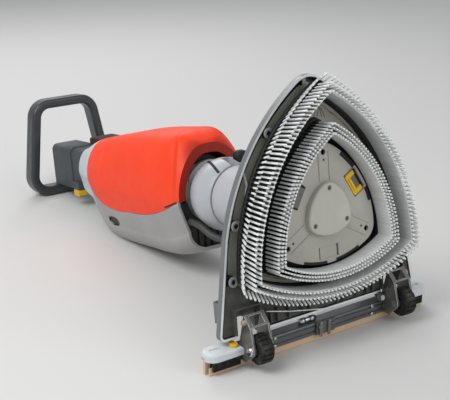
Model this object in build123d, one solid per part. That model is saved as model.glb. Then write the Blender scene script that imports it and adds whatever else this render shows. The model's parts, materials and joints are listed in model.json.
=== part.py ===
"""Walk-behind floor scrubber with two orbiting triangular brushes, lying on its back.

While it is drawn, X runs to the right, Y along the machine from the bristle tips to the handle,
and Z towards the nose of the deck. The finished machine leans by LEAN about X and lies on Z = 0.
The rear carriage stands level on the floor, so it is drawn in floor axes from the same brush centre.
"""
from build123d import *
from math import cos, radians, sin, sqrt
import os

# Pose of the machine on the floor
LEAN = 8.08
BRUSH_HEIGHT = 250.0

# Fits
RUN_GAP = 0.05
SEAT_GAP = 0.3
SHELL_GAP = 0.6
SLIDE_GAP = 0.5

# How far a cut runs past a face, and how deep an added form sinks into its carrier
PAST = 1.0
SINK = 1.0

# Brush rings: widths are those of the Reuleaux outlines, depths are Y; the tips stand proud of Y = 0
TIP_PROUD = 11.0
BRUSH_WIDTH = 350.0
ORBIT = 5.5
DRIVE_Z = -6.5
SPLAY_BASE_WIDTH = 343.0
SPLAY_TIP_WIDTH = 366.0
OUTER_ROW_BASE_WIDTH = 336.0
MIDDLE_ROW_WIDTH = 322.0
MIDDLE_ROW_TIP_WIDTH = 328.0
OUTER_BACKING_WIDTH = 347.0
OUTER_BACKING_HOLE = 296.0
OUTER_ROW_COUNT = 24
INNER_ROW_WIDTHS = (257.0, 242.5, 228.0)
INNER_ROW_COUNT = 13
INNER_FLANGE_WIDTH = 268.0
INNER_FLANGE_HOLE = 224.0
BACKING_FRONT = 38.0
BACKING_THICK = 6.0
BACKING_CORNER = 8.0
STRAND_WIDTH = 3.6
STRAND_DEPTH = 2.4
STRAND_ROOT = 1.0

# Brush carriers and their drive
CARRIER_THICK = 4.0
OUTER_CARRIER_WIDTH = 312.0
CARRIER_CORNER = 25.0
SPIDER_GAP = 1.0
SPIDER_THICK = 5.0
OUTER_SKIRT_WALL = 4.0
SPIDER_HOLE_RADIUS = 26.0
SPIDER_HOLE_REACH = 82.0
PLATE_FRONT = 22.0
PLATE_THICK = 5.0
PLATE_WIDTH = 203.0
PLATE_CORNER = 32.0
PLATE_SKIRT = 4.0
INNER_CARRIER_WIDTH = 250.0
INNER_HUB_RADIUS = 27.0
INNER_THROW_RADIUS = 12.0
INNER_BEARING_RADIUS = 20.0
OUTER_THROW_RADIUS = 14.0
OUTER_BEARING_RADIUS = 22.0
OUTER_HUB_RADIUS = 29.0
HUB_LIP = 3.0
RACE_SHARE = 0.35
RACE_GROOVE = 1.0
BEARING_INSET = 1.0
SHAFT_SHORT = 6.0
OUTER_HUB_PROUD = 4.0
JOURNAL_RADIUS = 10.0
DECK_BEARING_RADIUS = 17.5
CORNER_HOLE_RADIUS = 5.0
CORNER_HOLE_REACH = 97.5
CORNER_SCREW_RADIUS = 2.2
CORNER_SCREW_REACH = 84.5
COVER_FRONT = 11.0
COVER_WIDTH = 90.0
COVER_CORNER = 24.0
COVER_SCREW_REACH = 39.0
COVER_SCREW_RADIUS = 3.6
COVER_SCREW_HEAD = 1.6
COVER_SCREW_SINK = 2.0
SCREW_CROSS = (4.4, 1.0, 0.8)
COVER_EDGE = 4.0
PLATE_RIB_WIDTH = 2.2
PLATE_RIB_HEIGHT = 1.4
PLATE_RIB_SPREAD = 10.6
POCKET_LENGTH = 21.0
POCKET_WIDTH = 42.0
POCKET_REACH = 71.5
POCKET_DEPTH = 1.5
POCKET_SLIT = 3.0
PLATE_NOTCH = (6.0, 8.0)
PLATE_NOTCH_REACH = 88.0
PLATE_NOTCH_SPREAD = 34.0
LATCH_LENGTH = 20.0
LATCH_WIDTH = 41.0
LATCH_THICK = 5.5
LATCH_REACH = 70.0
LATCH_ANGLE = 30.0
LATCH_TRAVEL = 6.0
LATCH_WALL = 3.0
LATCH_BOX = 5.0
LATCH_PROUD = 1.5
LATCH_CORNER = 2.0
LATCH_WINDOW = (12.0, 24.0, 1.5)
LATCH_WINDOW_SHIFT = 5.0
LATCH_RIDGE = (3.0, 24.0, 4.0)
LATCH_RIDGE_SHIFT = -5.0

# Deck pan
RIM_FRONT = 48.0
RIM_DEPTH = 12.0
DECK_TAPER = 14.0
LIP_WALL = 4.0
DECK_FLOOR = 60.0
NOSE_Z = 219.0
NOSE_RADIUS = 45.0
SIDE_MID = (123.0, 110.0)
SIDE_END = (186.0, -28.0)
REAR_HALF = 213.5
REAR_Z = -194.0
REAR_CORNER = 10.0
SKIRT_THICK = 2.0
SKIRT_FRONT = 50.0
BUMPER_RADIUS = 9.0
BUMPER_FRONT = 46.0
BUMPER_THICK = 8.0
BUMPER_EDGE = 1.2
BUMPER_PLACES = ((88.5, 128.0), (165.0, -9.5), (178.5, -99.0))
PANEL_FRONT = 50.0
PANEL_EDGE = 6.5
PANEL_KEEP_WIDTH = 350.0
PANEL_KEEP_CORNER = 30.0
PANEL_HEIGHT = 90.0
PANEL_RIB_XS = (30.0, 44.0, 74.0, 98.0, 112.0)
PANEL_RIB_WIDTH = 3.0
PANEL_RIB_HEIGHT = 7.0
RIB_AIR = 2.5
WELL_INNER = 134.8
WELL_AIR = 1.6
WELL_TOP = -146.0
WELL_DEPTH = 100.0
WELL_WALL = 3.0
WELL_RIM = 3.0
WELL_RIM_HEIGHT = 9.0
WELL_FRONT = 36.0

# Drive motor behind the deck
MOTOR_RADIUS = 46.0
MOTOR_LENGTH = 42.0
MOTOR_COVER_WALL = 4.0
MOTOR_COVER_AIR = 2.0
MOTOR_EDGE = 5.0
MOTOR_COVER_EDGE = 6.0

# Neck
NECK_Z = -26.0
TILT_Y = 150.0
TILT_PIN_RADIUS = 9.0
TILT_MAX = 65.0
TILT_PIN_EDGE = 1.0
LUG_RADIUS = 22.0
LUG_INNER = 54.0
LUG_OUTER = 64.0
LUG_ROOT = 66.0
ARM_THICK = 11.5
BUSH_WALL = 2.0
CONE_BASE_Y = 190.0
CONE_BASE_RADIUS = 73.0
CONE_TIP_RADIUS = 59.0
CONE_WALL = 6.5
CONE_FLOOR = 14.0
SEAM_Y = 280.0
SEAM_GAP = 2.5
BALL_Y = 314.0
BALL_RADIUS = 70.0
SPIGOT_RADIUS = 45.0
SPIGOT_WALL = 9.0
NECK_BUSH_WALL = 3.0
NECK_BUSH_LENGTH = 38.0
RETAINER_WIDTH = 6.0
RETAINER_THICK = 5.0
BARREL_WELL = 352.0
FLANGE_RADIUS = 60.0
FLANGE_FRONT = 366.0
BULKHEAD_FRONT = 376.0
BULKHEAD_THICK = 8.0
FLANGE_SCREW_RADIUS = 4.0
FLANGE_SCREW_REACH = 55.0
FLANGE_SCREW_HEAD = 3.5
FLANGE_SCREW_COUNT = 6
FLANGE_SCREW_START = 30.0
SLOT_HALF = 9.0
SLOT_LENGTH = 34.0

# Body: Y, half width, top, bottom, half width at the bottom, lower corner radius, half width of the crown
WAIST_Z = -40.0
WAIST_HALF = 93.0
BODY_SECTIONS = (
    (335.0, 85.0, 42.0, -126.0, 64.0, 40.0, 6.0),
    (367.0, 89.0, 67.0, -142.0, 72.0, 42.0, 8.0),
    (402.0, 92.0, 87.0, -153.0, 75.0, 42.0, 32.0),
    (440.0, WAIST_HALF, 87.0, -159.0, 76.0, 42.0, 36.0),
    (520.0, WAIST_HALF, 80.0, -163.0, 76.0, 42.0, 36.0),
    (620.0, 92.0, 67.0, -166.0, 76.0, 42.0, 34.0),
    (690.0, 90.0, 54.0, -160.0, 72.0, 40.0, 32.0),
    (745.0, 77.0, 43.0, -132.0, 62.0, 36.0, 26.0),
    (800.0, 60.0, 26.0, -104.0, 50.0, 30.0, 20.0),
    (850.0, 46.0, 10.0, -90.0, 40.0, 22.0, 14.0),
)
BODY_WALL = 5.0
REGION_ROOM = 60.0
HOOD_LIP = 15.0
HOOD_LIP_DEPTH = 13.0
MOUTH_FOOT = (349.0, -29.0)
MOUTH_TOP = (365.5, 58.0)
PARTING_MID = (432.0, -63.0)
PARTING_LOW = (560.0, -82.0)
PARTING_BACK = (680.0, -80.0)
PARTING_END = (745.0, -56.0)
HOOD_BACK_MID = (752.0, -8.0)
HOOD_BACK_TOP = (735.0, 50.0)
BODY_FRONT = 352.0
COLLAR_BACK = 850.0
COLLAR_WALL = 12.0
CAP_FRONT = 358.0
CAP_DROP = 2.0
CAP_RIB_COUNT = 7
CAP_RIB_PITCH = 15.0
CAP_RIB_WIDTH = 5.0
CAP_RIB_HEIGHT = 4.0
TONGUE_HALF = 54.0
TONGUE_TOP = 28.0
TONGUE_CORNER = 30.0
TONGUE_SINK = 20.0
NECK_AIR = 3.0
LID_FRONT = 756.0
LID_BACK = 815.0
LID_HALF = 32.0
LID_FLOOR = -20.0
LID_THICK = 6.0
LID_AIR = 0.95
KNUCKLE_RADIUS = 3.0
KNUCKLE_HALF = 14.0
KNUCKLE_RISE = 0.5
RECESS_Y = 640.0
RECESS_Z = -116.0
RECESS_LENGTH = 46.0
RECESS_HEIGHT = 18.0
RECESS_DEPTH = 3.0

# Handle
STEM_HALF = 34.0
STEM_TOP = 4.0
STEM_BOTTOM = -86.0
STEM_LIFT = 8.0
STEM_CORNER = 14.0
POD_FRONT = 905.0
POD_BACK = 1006.0
POD_HALF = 38.0
POD_STEP = 2.0
POD_TOP = 8.0
POD_CORNER = 14.0
POD_EDGE = 5.0
LOOP_Y = 1000.0
LOOP_DEPTH = 40.0
LOOP_BAR = 22.0
LOOP_TOP = 118.0
LOOP_TOP_HALF = 80.0
LOOP_BOTTOM_HALF = 116.0
LOOP_CORNER = 46.0
LOOP_EDGE = 7.0
BUTTON_RADIUS = 7.0
BUTTON_XS = (-22.0, 0.0, 22.0)
BUTTON_Z = -42.0
BUTTON_PROUD = 3.0
BUTTON_LENGTH = 8.0
BUTTON_TRAVEL = 2.0
BUTTON_GAP = 0.2
BUTTON_EDGE = 1.0
LENS_HALF = 22.0
LENS_BOTTOM = -24.0
LENS_TOP = -2.0
LENS_THICK = 3.0
CLIP_X = -36.0
CLIP_Y = 876.0
CLIP_SIZE = (20.0, 26.0, 15.0)
CLIP_EDGE = 3.0
CLIP_PIVOT = 4.0
CLIP_RECESS = 0.5
CLIP_BOSS = 18.0

# Inside the body
BATTERY_FRONT = 430.0
BATTERY_LENGTH = 190.0
BATTERY_HALF = 50.0
BATTERY_HEIGHT = 66.0
BATTERY_EDGE = 6.0
SHELF_TOP = -138.0
SUCTION_RADIUS = 42.0
SUCTION_LENGTH = 90.0
SUCTION_Z = 0.0
FAN_RADIUS = 29.4
FAN_LENGTH = 30.0
PUMP_RADIUS = 16.0
PUMP_LENGTH = 28.0
PUMP_X = 30.0
PUMP_AIR = 4.0
BOARD_HALF = 40.0
BOARD_LENGTH = 110.0
BOARD_THICK = 2.0
CHIP_COUNT = 3
CHIP_SIZE = (34.0, 16.0, 10.0)

# Water hose under the neck
HOSE_RADIUS = 6.5
HOSE_BORE = 4.5
HOSE_BEND = 26.0
HOSE_POINTS = ((-61.0, 349.7, -74.0), (-61.0, 328.0, -74.0), (-54.0, 296.0, -94.0), (-42.0, 270.0, -100.0),
               (-42.0, 244.3, -100.0))
GLAND_RADIUS = 8.0
GLAND_EDGE = 2.0
FITTING_LENGTH = 18.0
FITTING_RADIUS = 9.5
FITTING_FOOT = (12.0, 15.0, 34.0)

# Rear carriage, in floor axes from the brush centre: Y backwards, Z up, floor at minus BRUSH_HEIGHT
HINGE = (15.5, -206.0)
HINGE_PIN_RADIUS = 4.0
PIN_PROUD = 1.0
HINGE_EAR_RADIUS = 6.5
HINGE_EAR_INNER = 125.5
HINGE_EAR_OUTER = 133.5
EAR_ROOT = (8.0, 4.0)
AXLE = (-12.0, -210.0)
AXLE_RADIUS = 5.0
AXLE_HEAD_RADIUS = 8.0
AXLE_HEAD = 5.0
AXLE_HEAD_EDGE = 2.0
WHEEL_RADIUS = 25.0
WHEEL_INNER = 145.0
WHEEL_OUTER = 168.0
HUB_RADIUS = 14.0
TREAD_COUNT = 18
TREAD_WIDTH = 3.0
TREAD_DEPTH = 2.0
TYRE_EDGE = 3.0
HUB_DISH = 2.0
HUB_RIM = 2.0
HUB_BOSS = 3.0
BRACKET_THICK = 4.0
BRACKET_INNER = 136.2
BRACKET_OUTER = 171.2
BRACKET_EYE = 9.0
BRACKET_FOOT = 15.0
GUARD_LOW = (-7.5, -172.5)
GUARD_HIGH = (10.0, -156.0)
GUARD_THICK = 3.0
GUARD_BAR = 3.5
BAR_TOP = -214.0
BAR_BOTTOM = -236.0
BAR_WEB = 4.0
BAR_FRONT = 15.0
BAR_BACK = 39.0
BAR_EDGE = 3.0
BAR_GROOVE_ZS = (-219.5, -229.0)
BAR_GROOVE_WIDTH = 3.0
BAR_GROOVE_DEPTH = 2.0
BLADE_FRONT = 22.0
FRONT_BLADE_THICK = 4.6
REAR_BLADE_THICK = 5.0
FRONT_BLADE_HALF = 229.0
REAR_BLADE_HALF = 238.0
FRONT_BLADE_DROP = 10.0
NOTCH_PITCH = 10.0
NOTCH_WIDTH = 4.0
NOTCH_HEIGHT = 3.0
CAP_END = 242.0
CAP_TOP = -209.0
CAP_BOTTOM = -223.0
CAP_NEAR = 7.0
CAP_FAR = 44.0
CAP_EDGE = 5.0
CAP_SLOT = (22.0, 7.0, 2.0)
CAP_SLOT_SHIFT = 4.0
CLAMP_HALF = 20.0
CLAMP_THICK = 4.0
CLAMP_BOLT_RADIUS = 3.5
CLAMP_BOLT_SPAN = (10.0, 18.0)
CLAMP_BOLT_DROP = 8.0
LEVER_X = -188.0
LEVER_Y = 18.0
LEVER_RADIUS = 7.0
LEVER_ARM = 14.0
LEVER_THICK = 5.0
LEVER_EDGE = 1.5

# Worked out from the sizes above
CORNER_ANGLES = (90.0, 210.0, 330.0)
BACKING_BACK = BACKING_FRONT + BACKING_THICK
INNER_CARRIER_BACK = BACKING_BACK + CARRIER_THICK
SPIDER_FRONT = INNER_CARRIER_BACK + SPIDER_GAP
SPIDER_BACK = SPIDER_FRONT + SPIDER_THICK
OUTER_HUB_BACK = SPIDER_BACK + OUTER_HUB_PROUD
RIM_BACK = RIM_FRONT + RIM_DEPTH
DECK_BACK = RIM_BACK + DECK_TAPER
MOTOR_FRONT = DECK_BACK
MOTOR_BACK = MOTOR_FRONT + MOTOR_LENGTH
COVER_BACK = MOTOR_BACK + MOTOR_COVER_AIR + MOTOR_COVER_WALL
MOTOR_COVER_RADIUS = MOTOR_RADIUS + MOTOR_COVER_AIR + MOTOR_COVER_WALL
ARM_OUTER = LUG_INNER - SLIDE_GAP
ARM_INNER = ARM_OUTER - ARM_THICK
CONE_TIP_Y = SEAM_Y - SEAM_GAP
BARREL_BORE = SPIGOT_RADIUS + RUN_GAP + NECK_BUSH_WALL
RETAINER_FRONT = SEAM_Y + NECK_BUSH_LENGTH + SEAT_GAP
SPIGOT_END = RETAINER_FRONT + RETAINER_THICK + 2 * SEAT_GAP
BULKHEAD_BACK = BULKHEAD_FRONT + BULKHEAD_THICK
BLADE_TOP = BAR_TOP - BAR_WEB - SEAT_GAP
REAR_BLADE_FRONT = BLADE_FRONT + FRONT_BLADE_THICK
BLADE_BACK = REAR_BLADE_FRONT + REAR_BLADE_THICK
BRACKET_END = BRACKET_OUTER + BRACKET_THICK
WELL_OUTER = BRACKET_END + AXLE_HEAD + WELL_AIR
CLIP_TOP = STEM_BOTTOM - SEAT_GAP


# Drawing helpers


def deck_plane(y):
    """Plane square to Y, with local X along X and local Y along Z."""
    return Plane(origin=(0, y, 0), x_dir=(1, 0, 0), z_dir=(0, -1, 0))


def slab(sketch, front, back):
    """Prism of a sketch drawn in X and Z, from Y = front to Y = back."""
    return extrude(deck_plane(back) * sketch, amount=back - front)


def side_slab(sketch, left, right):
    """Prism of a sketch drawn in Y and Z, from X = left to X = right."""
    return extrude(Plane.YZ.offset(left) * sketch, amount=right - left)


def round_slab(radius, front, back, x=0.0, z=0.0):
    """Round bar along Y."""
    return slab(Pos(x, z) * Circle(radius), front, back)


def rod(radius, left, right, y, z):
    """Round bar along X."""
    return side_slab(Pos(y, z) * Circle(radius), left, right)


def block(x_span, y_span, z_span):
    """Box from its three spans."""
    spans = (x_span, y_span, z_span)
    centre = [sum(span) / 2 for span in spans]
    return Pos(*centre) * Box(*[span[1] - span[0] for span in spans])


def both_sides(solid):
    """A solid and its mirror image on the other side of the machine."""
    return solid + mirror(solid, about=Plane.YZ)


def reuleaux(width):
    """Sharp Reuleaux triangle with a corner towards the nose."""
    corners = [Vector(width / sqrt(3), 0).rotate(Axis.Z, angle) for angle in CORNER_ANGLES]
    sides = []
    for index, far in enumerate(corners):
        middle = far * (1 - sqrt(3))
        sides.append(ThreePointArc(corners[index - 2], middle, corners[index - 1]))
    return make_face(sides)


def rounded_reuleaux(width, radius):
    """Reuleaux triangle of the same constant width with rounded corners."""
    return offset(reuleaux(width - 2 * radius), amount=radius)


def rounded_reach(width, radius):
    """Distance from the middle of a rounded Reuleaux triangle to its corners."""
    return (width - 2 * radius) / sqrt(3) + radius


def polar(reach, angle):
    """Local X and Y of a point at a reach and an angle in degrees."""
    return reach * cos(radians(angle)), reach * sin(radians(angle))


# Brushes


def row_places(width, count):
    """Places of the tufts along a Reuleaux outline: X, Z and the outward angle."""
    for angle in CORNER_ANGLES:
        far_x, far_z = polar(width / sqrt(3), angle)
        for step in range(count):
            turn = angle + 150 + (step + 0.5) * 60 / count
            x, z = polar(width, turn)
            yield far_x + x, far_z + z, turn


def strand_row(base_width, tip_width, count):
    """One row of square tufts from their backing to the tip plane."""
    root = BACKING_FRONT + STRAND_ROOT
    strands = []
    for base, end in zip(row_places(base_width, count), row_places(tip_width, count)):
        x, z, turn = base
        foot = deck_plane(root) * Pos(x, z) * Rot(0, 0, turn) * Rectangle(STRAND_DEPTH, STRAND_WIDTH)
        strands.append(Solid.extrude(foot.face(), Vector(end[0] - x, -TIP_PROUD - root, end[1] - z)))
    return strands


def brush_ring(outside, hole, strands):
    """Backing ring with its tufts, joined in one fuse."""
    outline = rounded_reuleaux(outside, BACKING_CORNER) - rounded_reuleaux(hole, BACKING_CORNER)
    return slab(outline, BACKING_FRONT, BACKING_BACK).fuse(*strands)


def make_outer_brush():
    strands = strand_row(SPLAY_BASE_WIDTH, SPLAY_TIP_WIDTH, OUTER_ROW_COUNT)
    strands += strand_row(OUTER_ROW_BASE_WIDTH, BRUSH_WIDTH, OUTER_ROW_COUNT)
    strands += strand_row(MIDDLE_ROW_WIDTH, MIDDLE_ROW_TIP_WIDTH, OUTER_ROW_COUNT)
    return brush_ring(OUTER_BACKING_WIDTH, OUTER_BACKING_HOLE, strands)


def make_inner_brush():
    strands = []
    for width in INNER_ROW_WIDTHS:
        strands += strand_row(width, width, INNER_ROW_COUNT)
    return brush_ring(INNER_FLANGE_WIDTH, INNER_FLANGE_HOLE, strands)


def make_outer_carrier():
    """Spider that carries the outer ring: a plate behind the inner carrier, a pad and a side skirt."""
    outline = rounded_reuleaux(OUTER_CARRIER_WIDTH, CARRIER_CORNER)
    inside = offset(outline, amount=-OUTER_SKIRT_WALL)
    pad_hole = rounded_reuleaux(OUTER_BACKING_HOLE, CARRIER_CORNER)
    carrier = slab(outline, SPIDER_FRONT, SPIDER_BACK)
    carrier += slab(outline - pad_hole, BACKING_BACK, SPIDER_FRONT)
    carrier += slab(outline - inside, SPIDER_BACK, OUTER_HUB_BACK)
    carrier += round_slab(OUTER_HUB_RADIUS, SPIDER_FRONT, OUTER_HUB_BACK)
    for angle in CORNER_ANGLES:
        x, z = polar(SPIDER_HOLE_REACH, angle)
        carrier -= round_slab(SPIDER_HOLE_RADIUS, SPIDER_FRONT, SPIDER_BACK, x, z)
    return carrier - round_slab(OUTER_BEARING_RADIUS, SPIDER_FRONT, OUTER_HUB_BACK)


def corner_ribs():
    """Pairs of raised ribs on the plate, from the cover to each corner."""
    ribs = []
    for angle in CORNER_ANGLES:
        near, far = rounded_reach(COVER_WIDTH, COVER_CORNER) + PLATE_RIB_HEIGHT, CORNER_HOLE_REACH
        for side in (-PLATE_RIB_SPREAD, PLATE_RIB_SPREAD):
            strip = Pos((near + far) / 2, side) * Rectangle(far - near, PLATE_RIB_WIDTH)
            ribs.append(slab(Rot(0, 0, angle) * strip, PLATE_FRONT - PLATE_RIB_HEIGHT, PLATE_FRONT + SINK))
    return ribs


def plate_pockets():
    """Shallow pockets at the two sides without a latch, each with a slit along both ends."""
    cuts = []
    for angle in (LATCH_ANGLE + 120, LATCH_ANGLE + 240):
        place = Rot(0, 0, angle) * Pos(POCKET_REACH, 0)
        floor = place * Rectangle(POCKET_LENGTH, POCKET_WIDTH)
        cuts.append(slab(floor, PLATE_FRONT - PAST, PLATE_FRONT + POCKET_DEPTH))
        spread = (POCKET_WIDTH - POCKET_SLIT) / 2
        for side in (-spread, spread):
            slit = place * Pos(0, side) * Rectangle(POCKET_LENGTH, POCKET_SLIT)
            cuts.append(slab(slit, PLATE_FRONT, PLATE_FRONT + PLATE_THICK))
    return cuts


def plate_notches():
    """Notches in the three sides of the plate's edge."""
    cuts = []
    for angle in CORNER_ANGLES:
        for side in (-PLATE_NOTCH_SPREAD, PLATE_NOTCH_SPREAD):
            notch = Rot(0, 0, angle + 180) * Pos(PLATE_NOTCH_REACH, side) * Rectangle(*PLATE_NOTCH)
            cuts.append(slab(notch, PLATE_FRONT, PLATE_FRONT + PLATE_THICK / 2))
    return cuts


def latch_pocket(wall, front, back):
    """Space the brush latch slides in, grown by a wall all round."""
    length = LATCH_LENGTH + LATCH_TRAVEL + 2 * SLIDE_GAP + 2 * wall
    shape = Pos(LATCH_REACH + LATCH_TRAVEL / 2, 0) * Rectangle(length, LATCH_WIDTH + 2 * wall)
    return slab(Rot(0, 0, LATCH_ANGLE) * shape, front, back)


def make_inner_carrier():
    """Dished plate of the inner brush: flange, skirt, front plate, hub, latch pocket and corner holes."""
    outline = rounded_reuleaux(PLATE_WIDTH, PLATE_CORNER)
    plate_back = PLATE_FRONT + PLATE_THICK
    carrier = slab(outline, PLATE_FRONT, plate_back)
    carrier += slab(outline - offset(outline, amount=-PLATE_SKIRT), plate_back, INNER_CARRIER_BACK)
    carrier += slab(rounded_reuleaux(INNER_CARRIER_WIDTH, CARRIER_CORNER) - outline,
                    BACKING_BACK, INNER_CARRIER_BACK)
    carrier += round_slab(INNER_HUB_RADIUS, plate_back, INNER_CARRIER_BACK)
    carrier += corner_ribs()
    for angle in CORNER_ANGLES:
        hole, screw = polar(CORNER_HOLE_REACH, angle), polar(CORNER_SCREW_REACH, angle)
        carrier -= round_slab(CORNER_HOLE_RADIUS, PLATE_FRONT, plate_back, *hole)
        carrier -= round_slab(CORNER_SCREW_RADIUS, PLATE_FRONT, plate_back, *screw)
    carrier -= plate_pockets()
    carrier -= plate_notches()
    carrier += latch_pocket(LATCH_WALL, plate_back - SINK, plate_back + LATCH_BOX)
    carrier -= latch_pocket(0, PLATE_FRONT - PAST, PLATE_FRONT + LATCH_THICK)
    bearing_front = plate_back + HUB_LIP
    carrier -= round_slab(INNER_BEARING_RADIUS, bearing_front, INNER_CARRIER_BACK)
    return carrier - round_slab(INNER_THROW_RADIUS, plate_back - SINK, bearing_front)


def make_brush_latch():
    """Yellow sliding latch, open at its outer end, with a thumb ridge."""
    turn = Rot(0, 0, LATCH_ANGLE) * Pos(LATCH_REACH, 0)
    front, back = PLATE_FRONT - LATCH_PROUD, PLATE_FRONT + LATCH_THICK - SEAT_GAP
    outline = RectangleRounded(LATCH_LENGTH, LATCH_WIDTH - 2 * SLIDE_GAP, LATCH_CORNER)
    latch = slab(turn * outline, front, back)
    length, width, depth = LATCH_WINDOW
    latch -= slab(turn * Pos(LATCH_WINDOW_SHIFT, 0) * Rectangle(length, width), front, PLATE_FRONT + depth)
    length, width, height = LATCH_RIDGE
    ridge = turn * Pos(LATCH_RIDGE_SHIFT, 0) * Rectangle(length, width)
    return latch + slab(ridge, PLATE_FRONT - height, PLATE_FRONT)


def make_center_cover():
    """Raised rounded cover in the middle of the plate."""
    cover = slab(rounded_reuleaux(COVER_WIDTH, COVER_CORNER), COVER_FRONT, PLATE_FRONT)
    cover = fillet(cover.faces().sort_by(Axis.Y)[0].edges(), COVER_EDGE)
    for angle in CORNER_ANGLES:
        x, z = polar(COVER_SCREW_REACH, angle)
        seat = COVER_FRONT + COVER_SCREW_SINK
        cover -= round_slab(COVER_SCREW_RADIUS + SLIDE_GAP, COVER_FRONT, seat, x, z)
    return cover


def make_cover_screws():
    """Three cross-head screws of the cover."""
    seat = COVER_FRONT + COVER_SCREW_SINK
    top = seat - COVER_SCREW_HEAD
    length, width, depth = SCREW_CROSS
    screws = []
    for angle in CORNER_ANGLES:
        x, z = polar(COVER_SCREW_REACH, angle)
        head = round_slab(COVER_SCREW_RADIUS, top, seat, x, z)
        for span in ((length, width), (width, length)):
            head -= slab(Pos(x, z) * Rectangle(*span), top, top + depth)
        screws.append(head)
    return Compound(children=screws)


def ring_bearing(bore, radius, front, back):
    """Plain bearing ring with a groove on each face."""
    bearing = round_slab(radius, front, back) - round_slab(bore, front, back)
    low, high = bore + (radius - bore) * RACE_SHARE, radius - (radius - bore) * RACE_SHARE
    groove = Circle(high) - Circle(low)
    return bearing - slab(groove, front, front + RACE_GROOVE) - slab(groove, back - RACE_GROOVE, back)


def make_inner_bearing():
    front = PLATE_FRONT + PLATE_THICK + HUB_LIP
    return ring_bearing(INNER_THROW_RADIUS + RUN_GAP, INNER_BEARING_RADIUS, front, INNER_CARRIER_BACK)


def make_outer_bearing():
    return ring_bearing(OUTER_THROW_RADIUS + RUN_GAP, OUTER_BEARING_RADIUS, SPIDER_FRONT, OUTER_HUB_BACK)


def make_deck_bearing():
    front, back = DECK_FLOOR + BEARING_INSET, DECK_BACK - BEARING_INSET
    return ring_bearing(JOURNAL_RADIUS + RUN_GAP, DECK_BEARING_RADIUS, front, back)


def make_eccentric_shaft():
    """Drive shaft with two opposite throws, one for each brush."""
    throw_front = PLATE_FRONT + PLATE_THICK + HUB_LIP + SEAT_GAP
    throw_step = (INNER_CARRIER_BACK + SPIDER_FRONT) / 2
    shaft = round_slab(INNER_THROW_RADIUS, throw_front, throw_step, 0, -ORBIT)
    shaft += round_slab(OUTER_THROW_RADIUS, throw_step, DECK_FLOOR - SEAT_GAP, 0, ORBIT)
    return shaft + round_slab(JOURNAL_RADIUS, DECK_FLOOR - SEAT_GAP, MOTOR_BACK - SHAFT_SHORT)


# Deck


def deck_outline():
    """Rim of the deck: two arcs from the nose, straight flares and a straight rear edge."""
    left_mid, left_end = (-SIDE_MID[0], SIDE_MID[1]), (-SIDE_END[0], SIDE_END[1])
    nose, left_rear, right_rear = (0, NOSE_Z), (-REAR_HALF, REAR_Z), (REAR_HALF, REAR_Z)
    edges = [ThreePointArc(nose, left_mid, left_end), Line(left_end, left_rear), Line(left_rear, right_rear),
             Line(right_rear, SIDE_END), ThreePointArc(SIDE_END, SIDE_MID, nose)]
    outline = make_face(edges)
    outline = fillet(outline.vertices().sort_by(Axis.Y)[-1:], NOSE_RADIUS)
    return fillet(outline.vertices().sort_by(Axis.Y)[:2], REAR_CORNER)


def wheel_wells():
    """Open notches at the rear edge that take the wheels when the carriage swings behind the deck."""
    well = block((WELL_INNER, WELL_OUTER), (WELL_FRONT, WELL_DEPTH), (2 * REAR_Z, WELL_TOP))
    return both_sides(well)


def wheel_arches():
    """Boxes behind the deck that close the wheel wells."""
    arch = block((WELL_INNER - WELL_WALL, WELL_OUTER + WELL_WALL), (DECK_FLOOR, WELL_DEPTH + WELL_WALL),
                 (REAR_Z + DECK_TAPER, WELL_TOP + WELL_WALL))
    return both_sides(arch)


def hinge_point():
    """The carriage hinge, moved from floor axes to the leaning axes of the deck: Y and Z."""
    y, z = HINGE
    lean = radians(LEAN)
    return y * cos(lean) - z * sin(lean), y * sin(lean) + z * cos(lean)


def deck_ears():
    """Ears on the rear wall that carry the carriage pins."""
    y, z = hinge_point()
    depth, height = EAR_ROOT
    root = Pos(DECK_FLOOR - depth / 2, REAR_Z + height / 2) * Rectangle(depth, height)
    ear = make_hull([*(Pos(y, z) * Circle(HINGE_EAR_RADIUS)).edges(), *root.edges()])
    ear = side_slab(ear, HINGE_EAR_INNER, HINGE_EAR_OUTER)
    ear -= rod(HINGE_PIN_RADIUS + RUN_GAP, HINGE_EAR_INNER, HINGE_EAR_OUTER, y, z)
    return both_sides(ear)


def deck_lugs():
    """Two lugs behind the deck that carry the tilt pin."""
    eye = Pos(TILT_Y, NECK_Z) * Circle(LUG_RADIUS)
    root = Pos(DECK_BACK, NECK_Z) * Rectangle(2 * SINK, LUG_ROOT)
    lug = side_slab(make_hull([*eye.edges(), *root.edges()]), LUG_INNER, LUG_OUTER)
    lug -= rod(TILT_PIN_RADIUS, LUG_INNER, LUG_OUTER, TILT_Y, NECK_Z)
    return both_sides(lug)


def bumper_discs(radius, front, back):
    """Round discs at the places of the bumpers."""
    discs = []
    for x, z in BUMPER_PLACES:
        discs += [round_slab(radius, front, back, side * x, z) for side in (-1, 1)]
    return discs


def make_deck_housing():
    outline = deck_outline()
    deck = slab(outline, RIM_FRONT, RIM_BACK)
    back_face = offset(outline, amount=-DECK_TAPER)
    deck += loft([deck_plane(RIM_BACK) * outline, deck_plane(DECK_BACK) * back_face])
    deck -= slab(offset(outline, amount=-LIP_WALL), RIM_FRONT, DECK_FLOOR)
    deck += bumper_discs(BUMPER_RADIUS, BUMPER_FRONT + BUMPER_THICK, DECK_FLOOR + SINK)
    deck += wheel_arches()
    deck -= wheel_wells()
    deck -= round_slab(DECK_BEARING_RADIUS, DECK_FLOOR, DECK_BACK, 0, DRIVE_Z)
    return deck + deck_ears() + deck_lugs()


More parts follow.
